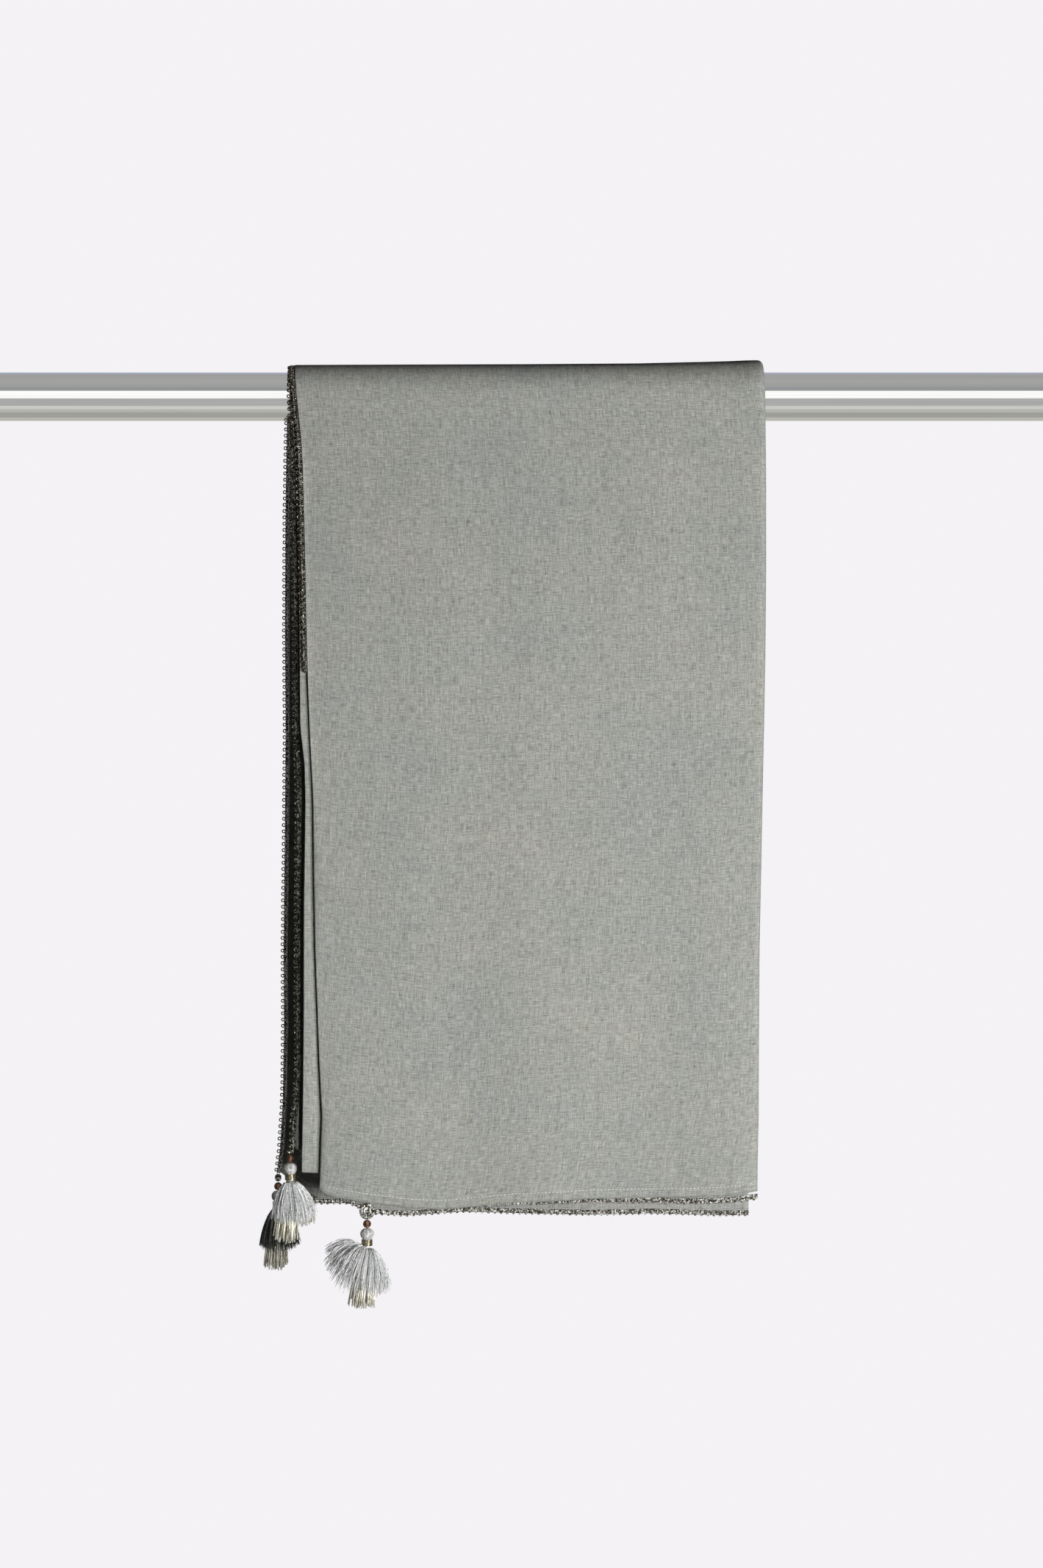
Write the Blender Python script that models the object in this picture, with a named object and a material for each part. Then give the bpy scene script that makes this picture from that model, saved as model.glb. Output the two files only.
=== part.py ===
"""A fine woven dupatta stole, folded lengthwise and hung over a plain polished tube rail.

Sizes are real millimetres. X runs along the rail, Z is up and the stole's front faces -Y.
The origin is on the rail's axis, half way along it.
"""
import math

import bpy
import numpy as np

for old in list(bpy.data.objects):
    bpy.data.objects.remove(old, do_unlink=True)

# Driving sizes
MM = 0.001
ROD_RADIUS = 12.5
ROD_HALF_LENGTH = 300.0
TUBE_WALL = 1.2
CAP_THICK = 2.7
SPIGOT_LENGTH = 9.0
CLOTH = 1.0
GAP = 0.3
LACE_WIDTH = 3.4
LACE_THICK = 1.0
LIP_WIDTH = 4.2
LIP_NARROWS = 0.85
ROD_SIDES = 40

# What the plies' spread and waves grow to at the hems
MIDDLE_SPREAD = 2.6
OUTER_SPREAD = 4.4
BACK_LOOSER = 1.4
TIGHTER_AT_FOLD = 0.75
SPREAD_DROP = 125.0
STOLE_LEFT = -112.0
STOLE_WIDE = 225.0
BACK_FLARE = 2.4
FRONT_WAVE = 1.1
BACK_WAVE = 1.6
WAVE_LENGTH = 96.0
FALL = 411.0

# The front panel's edges: height, left edge, right edge
PANEL_EDGES = (
    (-412.0, -103.4, 120.9),
    (-406.5, -103.2, 120.9),
    (-391.0, -102.8, 121.1),
    (-372.6, -102.1, 121.5),
    (-342.5, -103.6, 121.6),
    (-286.0, -105.6, 122.0),
    (-248.5, -106.2, 122.8),
    (-211.0, -106.6, 123.5),
    (-173.0, -108.5, 124.3),
    (-135.7, -109.6, 125.0),
    (-91.7, -110.0, 125.4),
    (-40.0, -111.1, 125.4),
    (-22.9, -112.0, 125.2),
    (-2.3, -114.3, 125.0),
    (15.0, -116.6, 124.4),
)

# The outer ply's edges on the back: height, left edge, right edge
OUTER_BACK_EDGES = (
    (-410.0, -112.5, 122.8),
    (-300.0, -114.5, 122.8),
    (-200.0, -116.0, 123.5),
    (-90.0, -116.8, 124.6),
    (15.0, -116.6, 124.4),
)

# The plain middle plies' left edge: height, front, back
MIDDLE_LEFT = (
    (-410.0, -112.7, -112.0),
    (-361.0, -111.9, -112.4),
    (-324.0, -111.6, -112.8),
    (-267.0, -111.5, -113.2),
    (-211.0, -110.7, -113.4),
    (-192.0, -111.2, -113.6),
    (-173.0, -113.4, -113.8),
    (-88.7, -113.9, -114.2),
    (15.0, -114.6, -114.6),
)

# The inner ply's left cloth edge: height, front, back
INNER_LEFT = (
    (-404.0, -115.6, -124.6),
    (-390.0, -115.6, -122.9),
    (-363.0, -113.2, -121.4),
    (-325.0, -113.4, -120.8),
    (-287.0, -113.3, -121.0),
    (-211.0, -112.9, -120.2),
    (-173.0, -114.3, -119.9),
    (-117.0, -114.4, -120.2),
    (-58.0, -115.9, -119.9),
    (-14.0, -116.4, -119.4),
    (0.0, -116.9, -117.9),
    (15.0, -116.9, -116.9),
)

# The front panel's hem: across, height of the cloth's edge
PANEL_HEM = (
    (-103.4, -407.8),
    (-99.5, -410.5),
    (-90.0, -412.3),
    (-75.0, -414.6),
    (-56.2, -417.0),
    (-41.2, -417.8),
    (-22.4, -416.1),
    (-3.6, -414.2),
    (15.2, -413.5),
    (34.0, -412.3),
    (56.6, -412.0),
    (90.4, -411.2),
    (105.5, -410.5),
    (121.0, -408.2),
    (126.0, -407.8),
)

# The inner ply's hems: across, height in front, height behind
INNER_HEMS = (
    (-125.0, -386.7, -402.1),
    (-116.0, -387.2, -409.1),
    (-105.7, -391.5, -415.3),
    (-90.1, -397.5, -415.0),
    (-77.5, -401.5, -420.3),
    (-60.0, -404.0, -421.4),
    (-30.4, -405.5, -419.5),
    (0.0, -406.0, -420.5),
    (34.4, -406.0, -420.9),
    (68.0, -405.5, -420.3),
    (101.3, -405.0, -421.5),
    (120.0, -404.5, -421.4),
)

# The outer ply's hem behind: across, height
OUTER_BACK_HEM = (
    (-121.0, -380.5),
    (-112.5, -381.5),
    (-98.0, -389.5),
    (-80.0, -397.5),
    (-50.0, -402.5),
    (0.0, -404.5),
    (60.0, -405.5),
    (126.0, -404.5),
)

# The middle plies: across, height of the front ends, height of the back ends, thickness
MIDDLE_STACK = (
    (-114.6, -398.6, -391.2, 1.0),
    (-90.0, -399.6, -395.2, 1.1),
    (-60.0, -401.2, -398.2, 1.2),
    (0.0, -403.7, -399.7, 1.4),
    (60.0, -405.2, -400.2, 1.8),
    (95.0, -405.7, -400.2, 2.6),
    (122.0, -405.7, -399.7, 3.4),
)

# The lace behind the front panel's hem: across, how much of it shows below the hem
PANEL_LACE_SHOWS = (
    (-46.0, 0.9),
    (-20.0, 1.2),
    (20.0, 2.0),
    (57.0, 2.9),
    (90.0, 3.7),
    (121.0, 3.7),
)

# The turned margin behind the front panel's left edge: height, its width
MARGIN_WIDTHS = (
    (-412.0, 24.0),
    (-395.0, 21.5),
    (-345.0, 16.0),
    (-285.0, 11.0),
    (-210.0, 6.5),
    (-130.0, 3.0),
)

# Each row down a fall: share of the fall's length from the rail
FALL_SHARES = (0.0, 0.05, 0.12, 0.22, 0.33, 0.45, 0.58, 0.71, 0.83, 0.92, 0.97, 1.0)
# Each row over the rail: degrees round it from the front
OVER_ANGLES = (15.0, 32.0, 50.0, 70.0, 90.0, 110.0, 130.0, 148.0, 165.0)
# Each column across a ply: share of its width
COLUMNS = (0.0, 0.03, 0.09, 0.145, 0.2, 0.27, 0.36, 0.46, 0.57, 0.68, 0.79, 0.88, 0.95, 1.0)
BEND_ANGLES = (30.0, 65.0, 100.0, 140.0, 180.0)

# Tassels: name, the bead's centre, the skirts' lean and spread to each side in degrees, the
# depth of the spread as a share, the strands' length, and the loop's half width and half height
TASSELS = (
    ("front_left", -118.6, -13.0, -392.1, 6.0, 24.0, 30.0, 0.62, 21.5, 1.6, 0.6),
    ("back_left", -126.6, 17.0, -409.1, 2.0, 25.0, 28.0, 0.62, 20.0, 1.5, 1.6),
    ("front_hem", -79.0, -21.5, -424.8, -12.0, 62.0, 32.0, 0.62, 22.5, 3.4, 3.6),
    ("back_hem", -114.6, 24.2, -387.2, 0.0, 14.0, 14.0, 0.5, 19.0, 1.5, 1.0),
)
BEAD_RADIUS = 2.15
HEAD_DROP = 4.65
COLLAR_INNER = 2.4
COLLAR_OUTER = 2.9
COLLAR_TOP = -3.2
COLLAR_BOTTOM = -6.5
DOME_CENTRE = -7.4
DOME_RADIUS = 3.2
STRAND_HALF = 0.27
SECTORS = 15
PLUG_SECTORS = 8
PLUG_LENGTH = 8.0
UNDER_LENGTH = 17.0
LOOP_WIRE = 0.45

# The head's outline: radius, height from its middle
HEAD_PROFILE = (
    (1.5, 2.3),
    (2.8, 1.8),
    (3.4, 0.2),
    (3.0, -1.6),
    (2.1, -2.9),
    (2.1, -6.75),
)

# The skirt's rings on the dome: degrees from straight down
DOME_RINGS = (80.0, 60.0, 41.0, 24.0)
# How far each ring of strands opens, as a share of the tassel's spread
RING_SPREAD = (1.0, 0.68, 0.36)

# Finishes: slot, colour, metallic, roughness
FINISHES = {
    "sage_weave": ((0.34, 0.36, 0.33), 0.0, 0.85),
    "silver_lace": ((0.55, 0.54, 0.50), 0.9, 0.4),
    "bronze_bead": ((0.30, 0.22, 0.15), 0.9, 0.3),
    "grey_thread": ((0.36, 0.37, 0.36), 0.0, 0.7),
    "gilt_collar": ((0.72, 0.66, 0.50), 1.0, 0.3),
    "gilt_thread": ((0.70, 0.62, 0.46), 0.9, 0.4),
    "polished_rail": ((0.80, 0.80, 0.79), 1.0, 0.12),
}

rng = np.random.default_rng(7)


def material(slot):
    """The slot's Principled material, made once."""
    found = bpy.data.materials.get(slot)
    if found:
        return found
    colour, metallic, roughness = FINISHES[slot]
    made = bpy.data.materials.new(slot)
    made.use_nodes = True
    shader = made.node_tree.nodes["Principled BSDF"]
    shader.inputs["Base Color"].default_value = (*colour, 1.0)
    shader.inputs["Metallic"].default_value = metallic
    shader.inputs["Roughness"].default_value = roughness
    return made


def faces_out(points, faces):
    """The same faces, all turned round if together they face inwards."""
    spots = [np.array(p) for p in points]
    volume = 0.0
    for face in faces:
        for i in range(1, len(face) - 1):
            a, b, c = spots[face[0]], spots[face[i]], spots[face[i + 1]]
            volume += float(np.dot(a, np.cross(b, c)))
    return faces if volume > 0 else [tuple(reversed(face)) for face in faces]


def add_object(name, points, faces, slot):
    """A smooth-shaded mesh object from points in mm."""
    faces = faces_out(points, faces)
    mesh = bpy.data.meshes.new(name)
    mesh.from_pydata([tuple(float(c) * MM for c in p) for p in points], [], faces)
    mesh.validate()
    mesh.shade_smooth()
    mesh.set_sharp_from_angle(angle=math.radians(40.0))
    mesh.materials.append(material(slot))
    made = bpy.data.objects.new(name, mesh)
    bpy.context.scene.collection.objects.link(made)
    return made


def sweep(name, outer, inner, slot):
    """A wall between two grids of points, rows along its path and columns across it."""
    rows, columns = len(outer), len(outer[0])
    points = []
    for row in range(rows):
        points += list(outer[row])
        points += list(reversed(inner[row]))
    ring = 2 * columns
    faces = []
    for row in range(rows - 1):
        for j in range(ring):
            k = (j + 1) % ring
            a = row * ring
            b = a + ring
            faces.append((a + j, b + j, b + k, a + k))
    last = (rows - 1) * ring
    for j in range(columns - 1):
        faces.append((j, j + 1, ring - 2 - j, ring - 1 - j))
        faces.append((last + j + 1, last + j, last + ring - 1 - j, last + ring - 2 - j))
    return add_object(name, points, faces, slot)


def turned(name, profile, slot, closed):
    """An outline of radius and position pairs, turned about the X axis."""
    points = []
    for radius, at in profile:
        for i in range(ROD_SIDES):
            turn = 2 * math.pi * i / ROD_SIDES
            points.append((at, radius * math.cos(turn), radius * math.sin(turn)))
    faces = []
    count = len(profile)
    for ring in range(count if closed else count - 1):
        a = ring * ROD_SIDES
        b = ((ring + 1) % count) * ROD_SIDES
        for i in range(ROD_SIDES):
            k = (i + 1) % ROD_SIDES
            faces.append((a + i, a + k, b + k, b + i))
    if not closed:
        last = (count - 1) * ROD_SIDES
        faces.append(tuple(reversed(range(ROD_SIDES))))
        faces.append(tuple(range(last, last + ROD_SIDES)))
    return add_object(name, points, faces, slot)


def along(table, at, column=1):
    """One column of a table, read at a value of its first column."""
    rows = sorted(table)
    return float(np.interp(at, [row[0] for row in rows], [row[column] for row in rows]))


# The rail: a polished tube and its end caps
tube = (
    (ROD_RADIUS, -ROD_HALF_LENGTH + CAP_THICK + GAP),
    (ROD_RADIUS, ROD_HALF_LENGTH - CAP_THICK - GAP),
    (ROD_RADIUS - TUBE_WALL, ROD_HALF_LENGTH - CAP_THICK - GAP),
    (ROD_RADIUS - TUBE_WALL, -ROD_HALF_LENGTH + CAP_THICK + GAP),
)
turned("rail_tube", tube, "polished_rail", True)


def end_cap(name, side):
    """A disc with a shorter plug that stands inside the tube."""
    plug = ROD_RADIUS - TUBE_WALL - GAP
    inside = ROD_HALF_LENGTH - CAP_THICK
    outline = (
        (ROD_RADIUS - 0.6, side * ROD_HALF_LENGTH),
        (ROD_RADIUS, side * (ROD_HALF_LENGTH - 0.6)),
        (ROD_RADIUS, side * inside),
        (plug, side * inside),
        (plug, side * (inside - SPIGOT_LENGTH)),
    )
    return turned(name, outline, "polished_rail", False)


end_cap("rail_cap_left", -1.0)
end_cap("rail_cap_right", 1.0)


# Where the cloth runs: down the front, over the rail and down the back
def path_rows():
    rows = [("front", share) for share in reversed(FALL_SHARES)]
    rows += [("over", angle) for angle in OVER_ANGLES]
    rows += [("back", share) for share in FALL_SHARES]
    return rows


def smooth(value):
    value = min(max(value, 0.0), 1.0)
    return value * value * (3.0 - 2.0 * value)


def wave(where, x, z):
    """How far the falls swing out of plane at a height."""
    drop = max(-z, 0.0) / FALL
    grown = drop ** 1.6
    turn = 2 * math.pi * x / WAVE_LENGTH
    if where == "front":
        return grown * FRONT_WAVE * (math.sin(turn + 0.7) + 0.4 * math.sin(0.43 * turn - 1.0))
    return grown * (BACK_FLARE + BACK_WAVE * math.sin(0.8 * turn + 2.1))


def spread(where, x, z, amount):
    """How far a ply stands off the ones beneath it: more at the open left edges than at the fold."""
    opened = smooth((max(-z, 0.0) - 4.0) / SPREAD_DROP)
    looser = BACK_LOOSER if where == "back" else 1.0
    nearer = min(max((x - STOLE_LEFT) / STOLE_WIDE, 0.0), 1.0)
    return amount * looser * opened * (1.0 - TIGHTER_AT_FOLD * nearer)


def placed(row, x, z, depth, amount=0.0):
    """A point at a depth above the rail's surface."""
    where, share = row
    if where == "over":
        angle = math.radians(share)
        reach = ROD_RADIUS + depth
        return (x, -reach * math.cos(angle), reach * math.sin(angle))
    out = ROD_RADIUS + depth + spread(where, x, z, amount) + wave(where, x, z)
    return (x, -out if where == "front" else out, z)


def height(row, hem):
    """The height of a row, from the hem's height at this column."""
    where, share = row
    if where == "over":
        return ROD_RADIUS * math.sin(math.radians(share))
    return share * hem


def stack_thickness(x):
    return along(MIDDLE_STACK, x, 3)


def outer_depth(x):
    """Depth of the outer ply's inner face."""
    return GAP + CLOTH + GAP + stack_thickness(x) + GAP


def panel_edges(row):
    """The outer ply's left and right limits at a row."""
    where, share = row
    z = height(row, -FALL)
    table = OUTER_BACK_EDGES if where == "back" else PANEL_EDGES
    return along(table, z, 1), along(table, z, 2)


def hem_outer(row, x):
    return along(OUTER_BACK_HEM if row[0] == "back" else PANEL_HEM, x)


def hem_inner(row, x):
    return along(INNER_HEMS, x, 2 if row[0] == "back" else 1)


def hem_middle(row, x):
    return along(MIDDLE_STACK, x, 2 if row[0] == "back" else 1)


def inner_left(row):
    z = height(row, -404.0)
    return along(INNER_LEFT, z, 2 if row[0] == "back" else 1)


def middle_left(row):
    z = height(row, -404.0)
    return along(MIDDLE_LEFT, z, 2 if row[0] == "back" else 1)


def lip_width(row):
    """The tucked lip, which runs out towards the hem behind."""
    where, share = row
    return LIP_WIDTH * (1.0 - LIP_NARROWS * share) if where == "back" else LIP_WIDTH


def bend_centre(row):
    """The right bend of the outer ply: across, depth of its middle and radius of its wall's middle."""
    right = panel_edges(row)[1]
    z = height(row, -FALL)
    top = outer_depth(right) + CLOTH / 2 + spread(row[0], right, z, OUTER_SPREAD)
    low = GAP + CLOTH / 2
    radius = (top - low) / 2
    return right - radius - CLOTH / 2, (top + low) / 2, radius


def ply(name, left, right, depth, thickness, amount, hem, slot="sage_weave"):
    """A flat wall: edges, depth of its inner face and hem are given row by row."""
    outer = []
    inner = []
    for row in path_rows():
        low, high = left(row), right(row)
        outer.append([])
        inner.append([])
        for share in COLUMNS:
            x = low + (high - low) * share
            z = height(row, hem(row, x))
            outer[-1].append(placed(row, x, z, depth(x) + thickness(x), amount))
            inner[-1].append(placed(row, x, z, depth(x), amount))
    return sweep(name, outer, inner, slot)


def inner_right(row):
    centre = bend_centre(row)[0]
    return centre - lip_width(row) - GAP


# The plies, from the rail outwards
ply(
    "inner_ply",
    inner_left,
    inner_right,
    lambda x: GAP,
    lambda x: CLOTH,
    0.0,
    hem_inner,
)
ply(
    "middle_plies",
    middle_left,
    lambda row: bend_centre(row)[0],
    lambda x: GAP + CLOTH + GAP,
    stack_thickness,
    MIDDLE_SPREAD,
    hem_middle,
)


def outer_section(row):
    """The outer ply's cut across: points of its outer and inner faces as across and depth."""
    left = panel_edges(row)[0]
    z = height(row, -FALL)
    across, middle, radius = bend_centre(row)
    pairs = []
    for share in COLUMNS:
        x = left + (across - left) * share
        low = outer_depth(x) + spread(row[0], x, z, OUTER_SPREAD)
        if share == 1.0:
            low = middle + radius - CLOTH / 2
        pairs.append(((x, low + CLOTH), (x, low)))
    for angle in BEND_ANGLES:
        turn = math.radians(angle)
        both = []
        for reach in (radius + CLOTH / 2, radius - CLOTH / 2):
            both.append((across + reach * math.sin(turn), middle + reach * math.cos(turn)))
        pairs.append(tuple(both))
    end = across - lip_width(row)
    pairs.append(((end, GAP), (end, GAP + CLOTH)))
    return pairs


def outer_wall():
    outer = []
    inner = []
    for row in path_rows():
        pairs = outer_section(row)
        outer.append([])
        inner.append([])
        for out, into in pairs:
            z = height(row, hem_outer(row, into[0]))
            outer[-1].append(placed(row, out[0], z, out[1]))
            inner[-1].append(placed(row, into[0], z, into[1]))
    return sweep("outer_ply", outer, inner, "sage_weave")


outer_wall()


# The margin turned under the front panel's left edge
def behind_panel(x, z=-FALL):
    """Depth of what lies behind the front panel, with the panel's own spread in it."""
    return outer_depth(x) + spread("front", x, z, OUTER_SPREAD) - GAP - CLOTH


def margin_rows():
    top = -130.0
    bottom = -409.5
    return [top + (bottom - top) * i / 9 for i in range(10)]


def margin_wall():
    outer = []
    inner = []
    lace_outer = []
    lace_inner = []
    for z in margin_rows():
        left = along(PANEL_EDGES, z) + 0.4
        width = along(MARGIN_WIDTHS, z)
        outer.append([])
        inner.append([])
        for share in (0.0, 0.5, 1.0):
            x = left + width * share
            low = behind_panel(x, z)
            fall = min(z, along(PANEL_HEM, x) + 1.2) if z < -400.0 else z
            outer[-1].append(placed(("front", 0), x, fall, low + CLOTH))
            inner[-1].append(placed(("front", 0), x, fall, low))
        lace_outer.append([])
        lace_inner.append([])
        for step in (GAP, GAP + LACE_WIDTH):
            x = left + width + step
            low = behind_panel(x, z)
            lace_outer[-1].append(placed(("front", 0), x, z, low + LACE_THICK))
            lace_inner[-1].append(placed(("front", 0), x, z, low))
    sweep("turned_margin", outer, inner, "sage_weave")
    sweep("margin_lace", lace_outer, lace_inner, "silver_lace")


margin_wall()


# Lace along the long edges
def side_lace(name, rows, edge, hem, depth, amount):
    outer = []
    inner = []
    for row in rows:
        x = edge(row)
        outer.append([])
        inner.append([])
        for step in (-GAP - LACE_WIDTH, -GAP):
            z = height(row, hem(row, x))
            low = depth(x) - (LACE_THICK - CLOTH) / 2
            outer[-1].append(placed(row, x + step, z, low + LACE_THICK, amount))
            inner[-1].append(placed(row, x + step, z, low, amount))
    return sweep(name, outer, inner, "silver_lace")


side_lace("inner_side_lace", path_rows(), inner_left, hem_inner, lambda x: GAP, 0.0)


def outer_left(row):
    return panel_edges(row)[0]


front_stretch = [row for row in path_rows() if row[0] != "front" or row[1] <= 0.33]
side_lace(
    "outer_side_lace", front_stretch, outer_left, hem_outer, outer_depth, OUTER_SPREAD
)


# Lace under the hems, along X
def hem_points(row, hem, left, right):
    """The hem as a ply's columns follow it: across and height."""
    low, high = left(row), right(row)
    spots = [low + (high - low) * share for share in COLUMNS]
    return [(x, hem(row, x)) for x in spots]


def outer_right(row):
    return bend_centre(row)[0]


def hem_lace(name, where, span, hem, edges, depth, amount, turned=False, shows=None):
    outer = []
    inner = []
    followed = hem_points((where, 1.0), hem, *edges)
    inside = [x for x, z in followed if span[0] + 1.0 < x < span[1] - 1.0]
    for x in [span[0]] + inside + [span[1]]:
        edge = along(followed, x)
        low = depth(x)
        hidden = LACE_WIDTH + GAP - along(shows, x) if shows else 0.0
        outer.append([])
        inner.append([])
        for drop in (GAP - hidden, GAP + LACE_WIDTH - hidden):
            z = edge + drop if turned else edge - drop
            outer[-1].append(placed((where, 1.0), x, z, low + LACE_THICK, amount))
            inner[-1].append(placed((where, 1.0), x, z, low, amount))
    return sweep(name, outer, inner, "silver_lace")


outer_edges = (outer_left, outer_right)
inner_edges = (inner_left, inner_right)
hem_lace(
    "panel_hem_lace", "front", (-40.0, 116.0),
    hem_outer, outer_edges, behind_panel, 0.0, False, PANEL_LACE_SHOWS,
)
hem_lace(
    "panel_turned_lace", "front", (-72.0, -41.0),
    hem_outer, outer_edges, behind_panel, 0.0, True,
)
hem_lace(
    "inner_front_lace", "front", (-111.0, 112.0),
    hem_inner, inner_edges, lambda x: GAP, 0.0,
)
hem_lace(
    "inner_back_lace", "back", (-120.0, 116.0),
    hem_inner, inner_edges, lambda x: GAP, 0.0,
)
hem_lace(
    "outer_back_lace", "back", (-108.0, 116.0),
    hem_outer, outer_edges, outer_depth, OUTER_SPREAD,
)


# Tassels: loop, bead, head with its skirt of strands, collar and under-skirt
def loop_of_lace(name, x, y, z, wide, tall):
    """A hanging oval ring."""
    points = []
    faces = []
    around, wire = 16, 6
    for i in range(around):
        turn = 2 * math.pi * i / around
        for j in range(wire):
            roll = 2 * math.pi * j / wire
            out = LOOP_WIRE * math.cos(roll)
            points.append((
                x + (wide + out) * math.cos(turn),
                y + LOOP_WIRE * math.sin(roll),
                z + (tall + out) * math.sin(turn),
            ))
            a, b = i * wire, ((i + 1) % around) * wire
            k = (j + 1) % wire
            faces.append((a + j, a + k, b + k, b + j))
    return add_object(name, points, faces, "silver_lace")


def bead(name, x, y, z):
    """A faceted bead."""
    points = []
    faces = []
    sides, levels = 10, (-68.0, -40.0, -8.0, 20.0, 48.0, 72.0)
    for level in levels:
        tilt = math.radians(level)
        for i in range(sides):
            turn = 2 * math.pi * i / sides
            reach = BEAD_RADIUS * math.cos(tilt)
            points.append((
                x + reach * math.cos(turn),
                y + reach * math.sin(turn),
                z + BEAD_RADIUS * math.sin(tilt),
            ))
    for ring in range(len(levels) - 1):
        for i in range(sides):
            k = (i + 1) % sides
            a, b = ring * sides, (ring + 1) * sides
            faces.append((a + i, a + k, b + k, b + i))
    top = (len(levels) - 1) * sides
    faces.append(tuple(reversed(range(sides))))
    faces.append(tuple(range(top, top + sides)))
    return add_object(name, points, faces, "bronze_bead")


def ring_points(radius, z, sides, share=0.0):
    turns = [2 * math.pi * (i + share) / sides for i in range(sides)]
    return [(radius * math.cos(t), radius * math.sin(t), z) for t in turns]


def leaned(point, lean):
    """A point turned about the dome's centre, so that the skirt hangs to one side."""
    angle = math.radians(lean)
    x, y, z = point
    z -= DOME_CENTRE
    return (
        x * math.cos(angle) - z * math.sin(angle),
        y,
        x * math.sin(angle) + z * math.cos(angle) + DOME_CENTRE,
    )


def band_quads(rings, sides):
    """Faces between rings of points that follow each other downwards."""
    faces = []
    for ring in range(len(rings) - 1):
        for i in range(sides):
            k = (i + 1) % sides
            a, b = rings[ring], rings[ring + 1]
            faces.append((a + k, a + i, b + i, b + k))
    return faces


def add_strand(points, faces, quad, heading, length, half, depth_share):
    """A square strand that grows from a dome's face, fused to it by a small inset."""
    corners = [np.array(points[i]) for i in quad]
    middle = sum(corners) / 4.0
    turn, polar, opening = heading
    out = np.array((math.cos(turn), depth_share * math.sin(turn), 0.0))
    across = np.array((-math.sin(turn), math.cos(turn), 0.0))
    inset = [middle + (c - middle) * 0.66 for c in corners]
    base = len(points)
    points.extend(tuple(p) for p in inset)
    for i in range(4):
        k = (i + 1) % 4
        faces.append((quad[i], quad[k], base + k, base + i))
    signs = []
    for p in inset:
        side = 1.0 if float(np.dot(p - middle, across)) > 0 else -1.0
        signs.append((side, 1.0 if p[2] > middle[2] else -1.0))
    at = middle
    for share, angle in ((0.4, 0.15 * polar + 1.15 * opening), (0.6, 0.9 * opening)):
        way = out * math.sin(angle) - np.array((0.0, 0.0, math.cos(angle)))
        way = way / np.linalg.norm(way)
        up = np.cross(way, across)
        up = up if up[2] > 0 else -up
        at = at + way * length * share
        ring = len(points)
        for side, rise in signs:
            points.append(tuple(at + across * side * half + up * rise * half))
        for i in range(4):
            k = (i + 1) % 4
            faces.append((base + i, base + k, ring + k, ring + i))
        base = ring
    faces.append((base, base + 1, base + 2, base + 3))


def strands_from(points, faces, quads, start, sides, polar, openings, lengths, share, half):
    """Strands from one band of a dome."""
    for i in range(sides):
        turn = 2 * math.pi * (i + 0.5) / sides
        opening = openings[0] + (openings[1] - openings[0]) * 0.5 * (1.0 + math.cos(turn))
        heading = (turn, polar, opening)
        length = lengths * (1.0 + float(rng.uniform(-0.07, 0.05)))
        add_strand(points, faces, quads[start + i], heading, length, half, share)


def tassel_head(name, centre, lean, left, right, share, length):
    points = []
    for radius, z in HEAD_PROFILE:
        points += ring_points(radius, z, SECTORS)
    skirt_start = len(points)
    for degrees in DOME_RINGS:
        tilt = math.radians(degrees)
        z = DOME_CENTRE - DOME_RADIUS * math.cos(tilt)
        points += ring_points(DOME_RADIUS * math.sin(tilt), z, SECTORS)
    count = len(points) // SECTORS
    starts = [i * SECTORS for i in range(count)]
    quads = band_quads(starts, SECTORS)
    solid_bands = len(HEAD_PROFILE)
    faces = quads[: solid_bands * SECTORS]
    strand_quads = quads[solid_bands * SECTORS:]
    faces.append(tuple(range(SECTORS)))
    faces.append(tuple(reversed(range((count - 1) * SECTORS, count * SECTORS))))
    for band, opens in enumerate(RING_SPREAD):
        polar = math.radians((DOME_RINGS[band] + DOME_RINGS[band + 1]) / 2.0)
        openings = (math.radians(left * opens), math.radians(right * opens))
        strands_from(
            points, faces, strand_quads, band * SECTORS, SECTORS, polar, openings,
            length, share, STRAND_HALF,
        )
    moved = []
    for i, point in enumerate(points):
        x, y, z = leaned(point, lean) if i >= skirt_start else point
        moved.append((x + centre[0], y + centre[1], z + centre[2]))
    return add_object(name, moved, faces, "grey_thread")


def tassel_under(name, centre, lean, left, right, share):
    """The gilt under-skirt: a plug inside the skirt, and strands fused to its lower end."""
    top = DOME_CENTRE - DOME_RADIUS - 0.35
    points = ring_points(1.0, top, PLUG_SECTORS)
    bottom = top - PLUG_LENGTH
    dome = ((1.9, bottom), (1.35, bottom - 0.75), (0.6, bottom - 1.1))
    for radius, z in dome:
        points += ring_points(radius, z, PLUG_SECTORS)
    starts = [i * PLUG_SECTORS for i in range(4)]
    quads = band_quads(starts, PLUG_SECTORS)
    faces = quads[:PLUG_SECTORS]
    faces.append(tuple(range(PLUG_SECTORS)))
    faces.append(tuple(reversed(range(3 * PLUG_SECTORS, 4 * PLUG_SECTORS))))
    for band, degrees in enumerate((14.0, 6.5)):
        openings = [math.radians(degrees * side / 36.0) for side in (min(left, 38.0), right)]
        strands_from(
            points, faces, quads[PLUG_SECTORS:], band * PLUG_SECTORS, PLUG_SECTORS,
            math.radians(degrees + 14.0), openings, UNDER_LENGTH, share, STRAND_HALF,
        )
    moved = []
    for point in points:
        x, y, z = leaned(point, lean)
        moved.append((x + centre[0], y + centre[1], z + centre[2]))
    return add_object(name, moved, faces, "gilt_thread")


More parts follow.
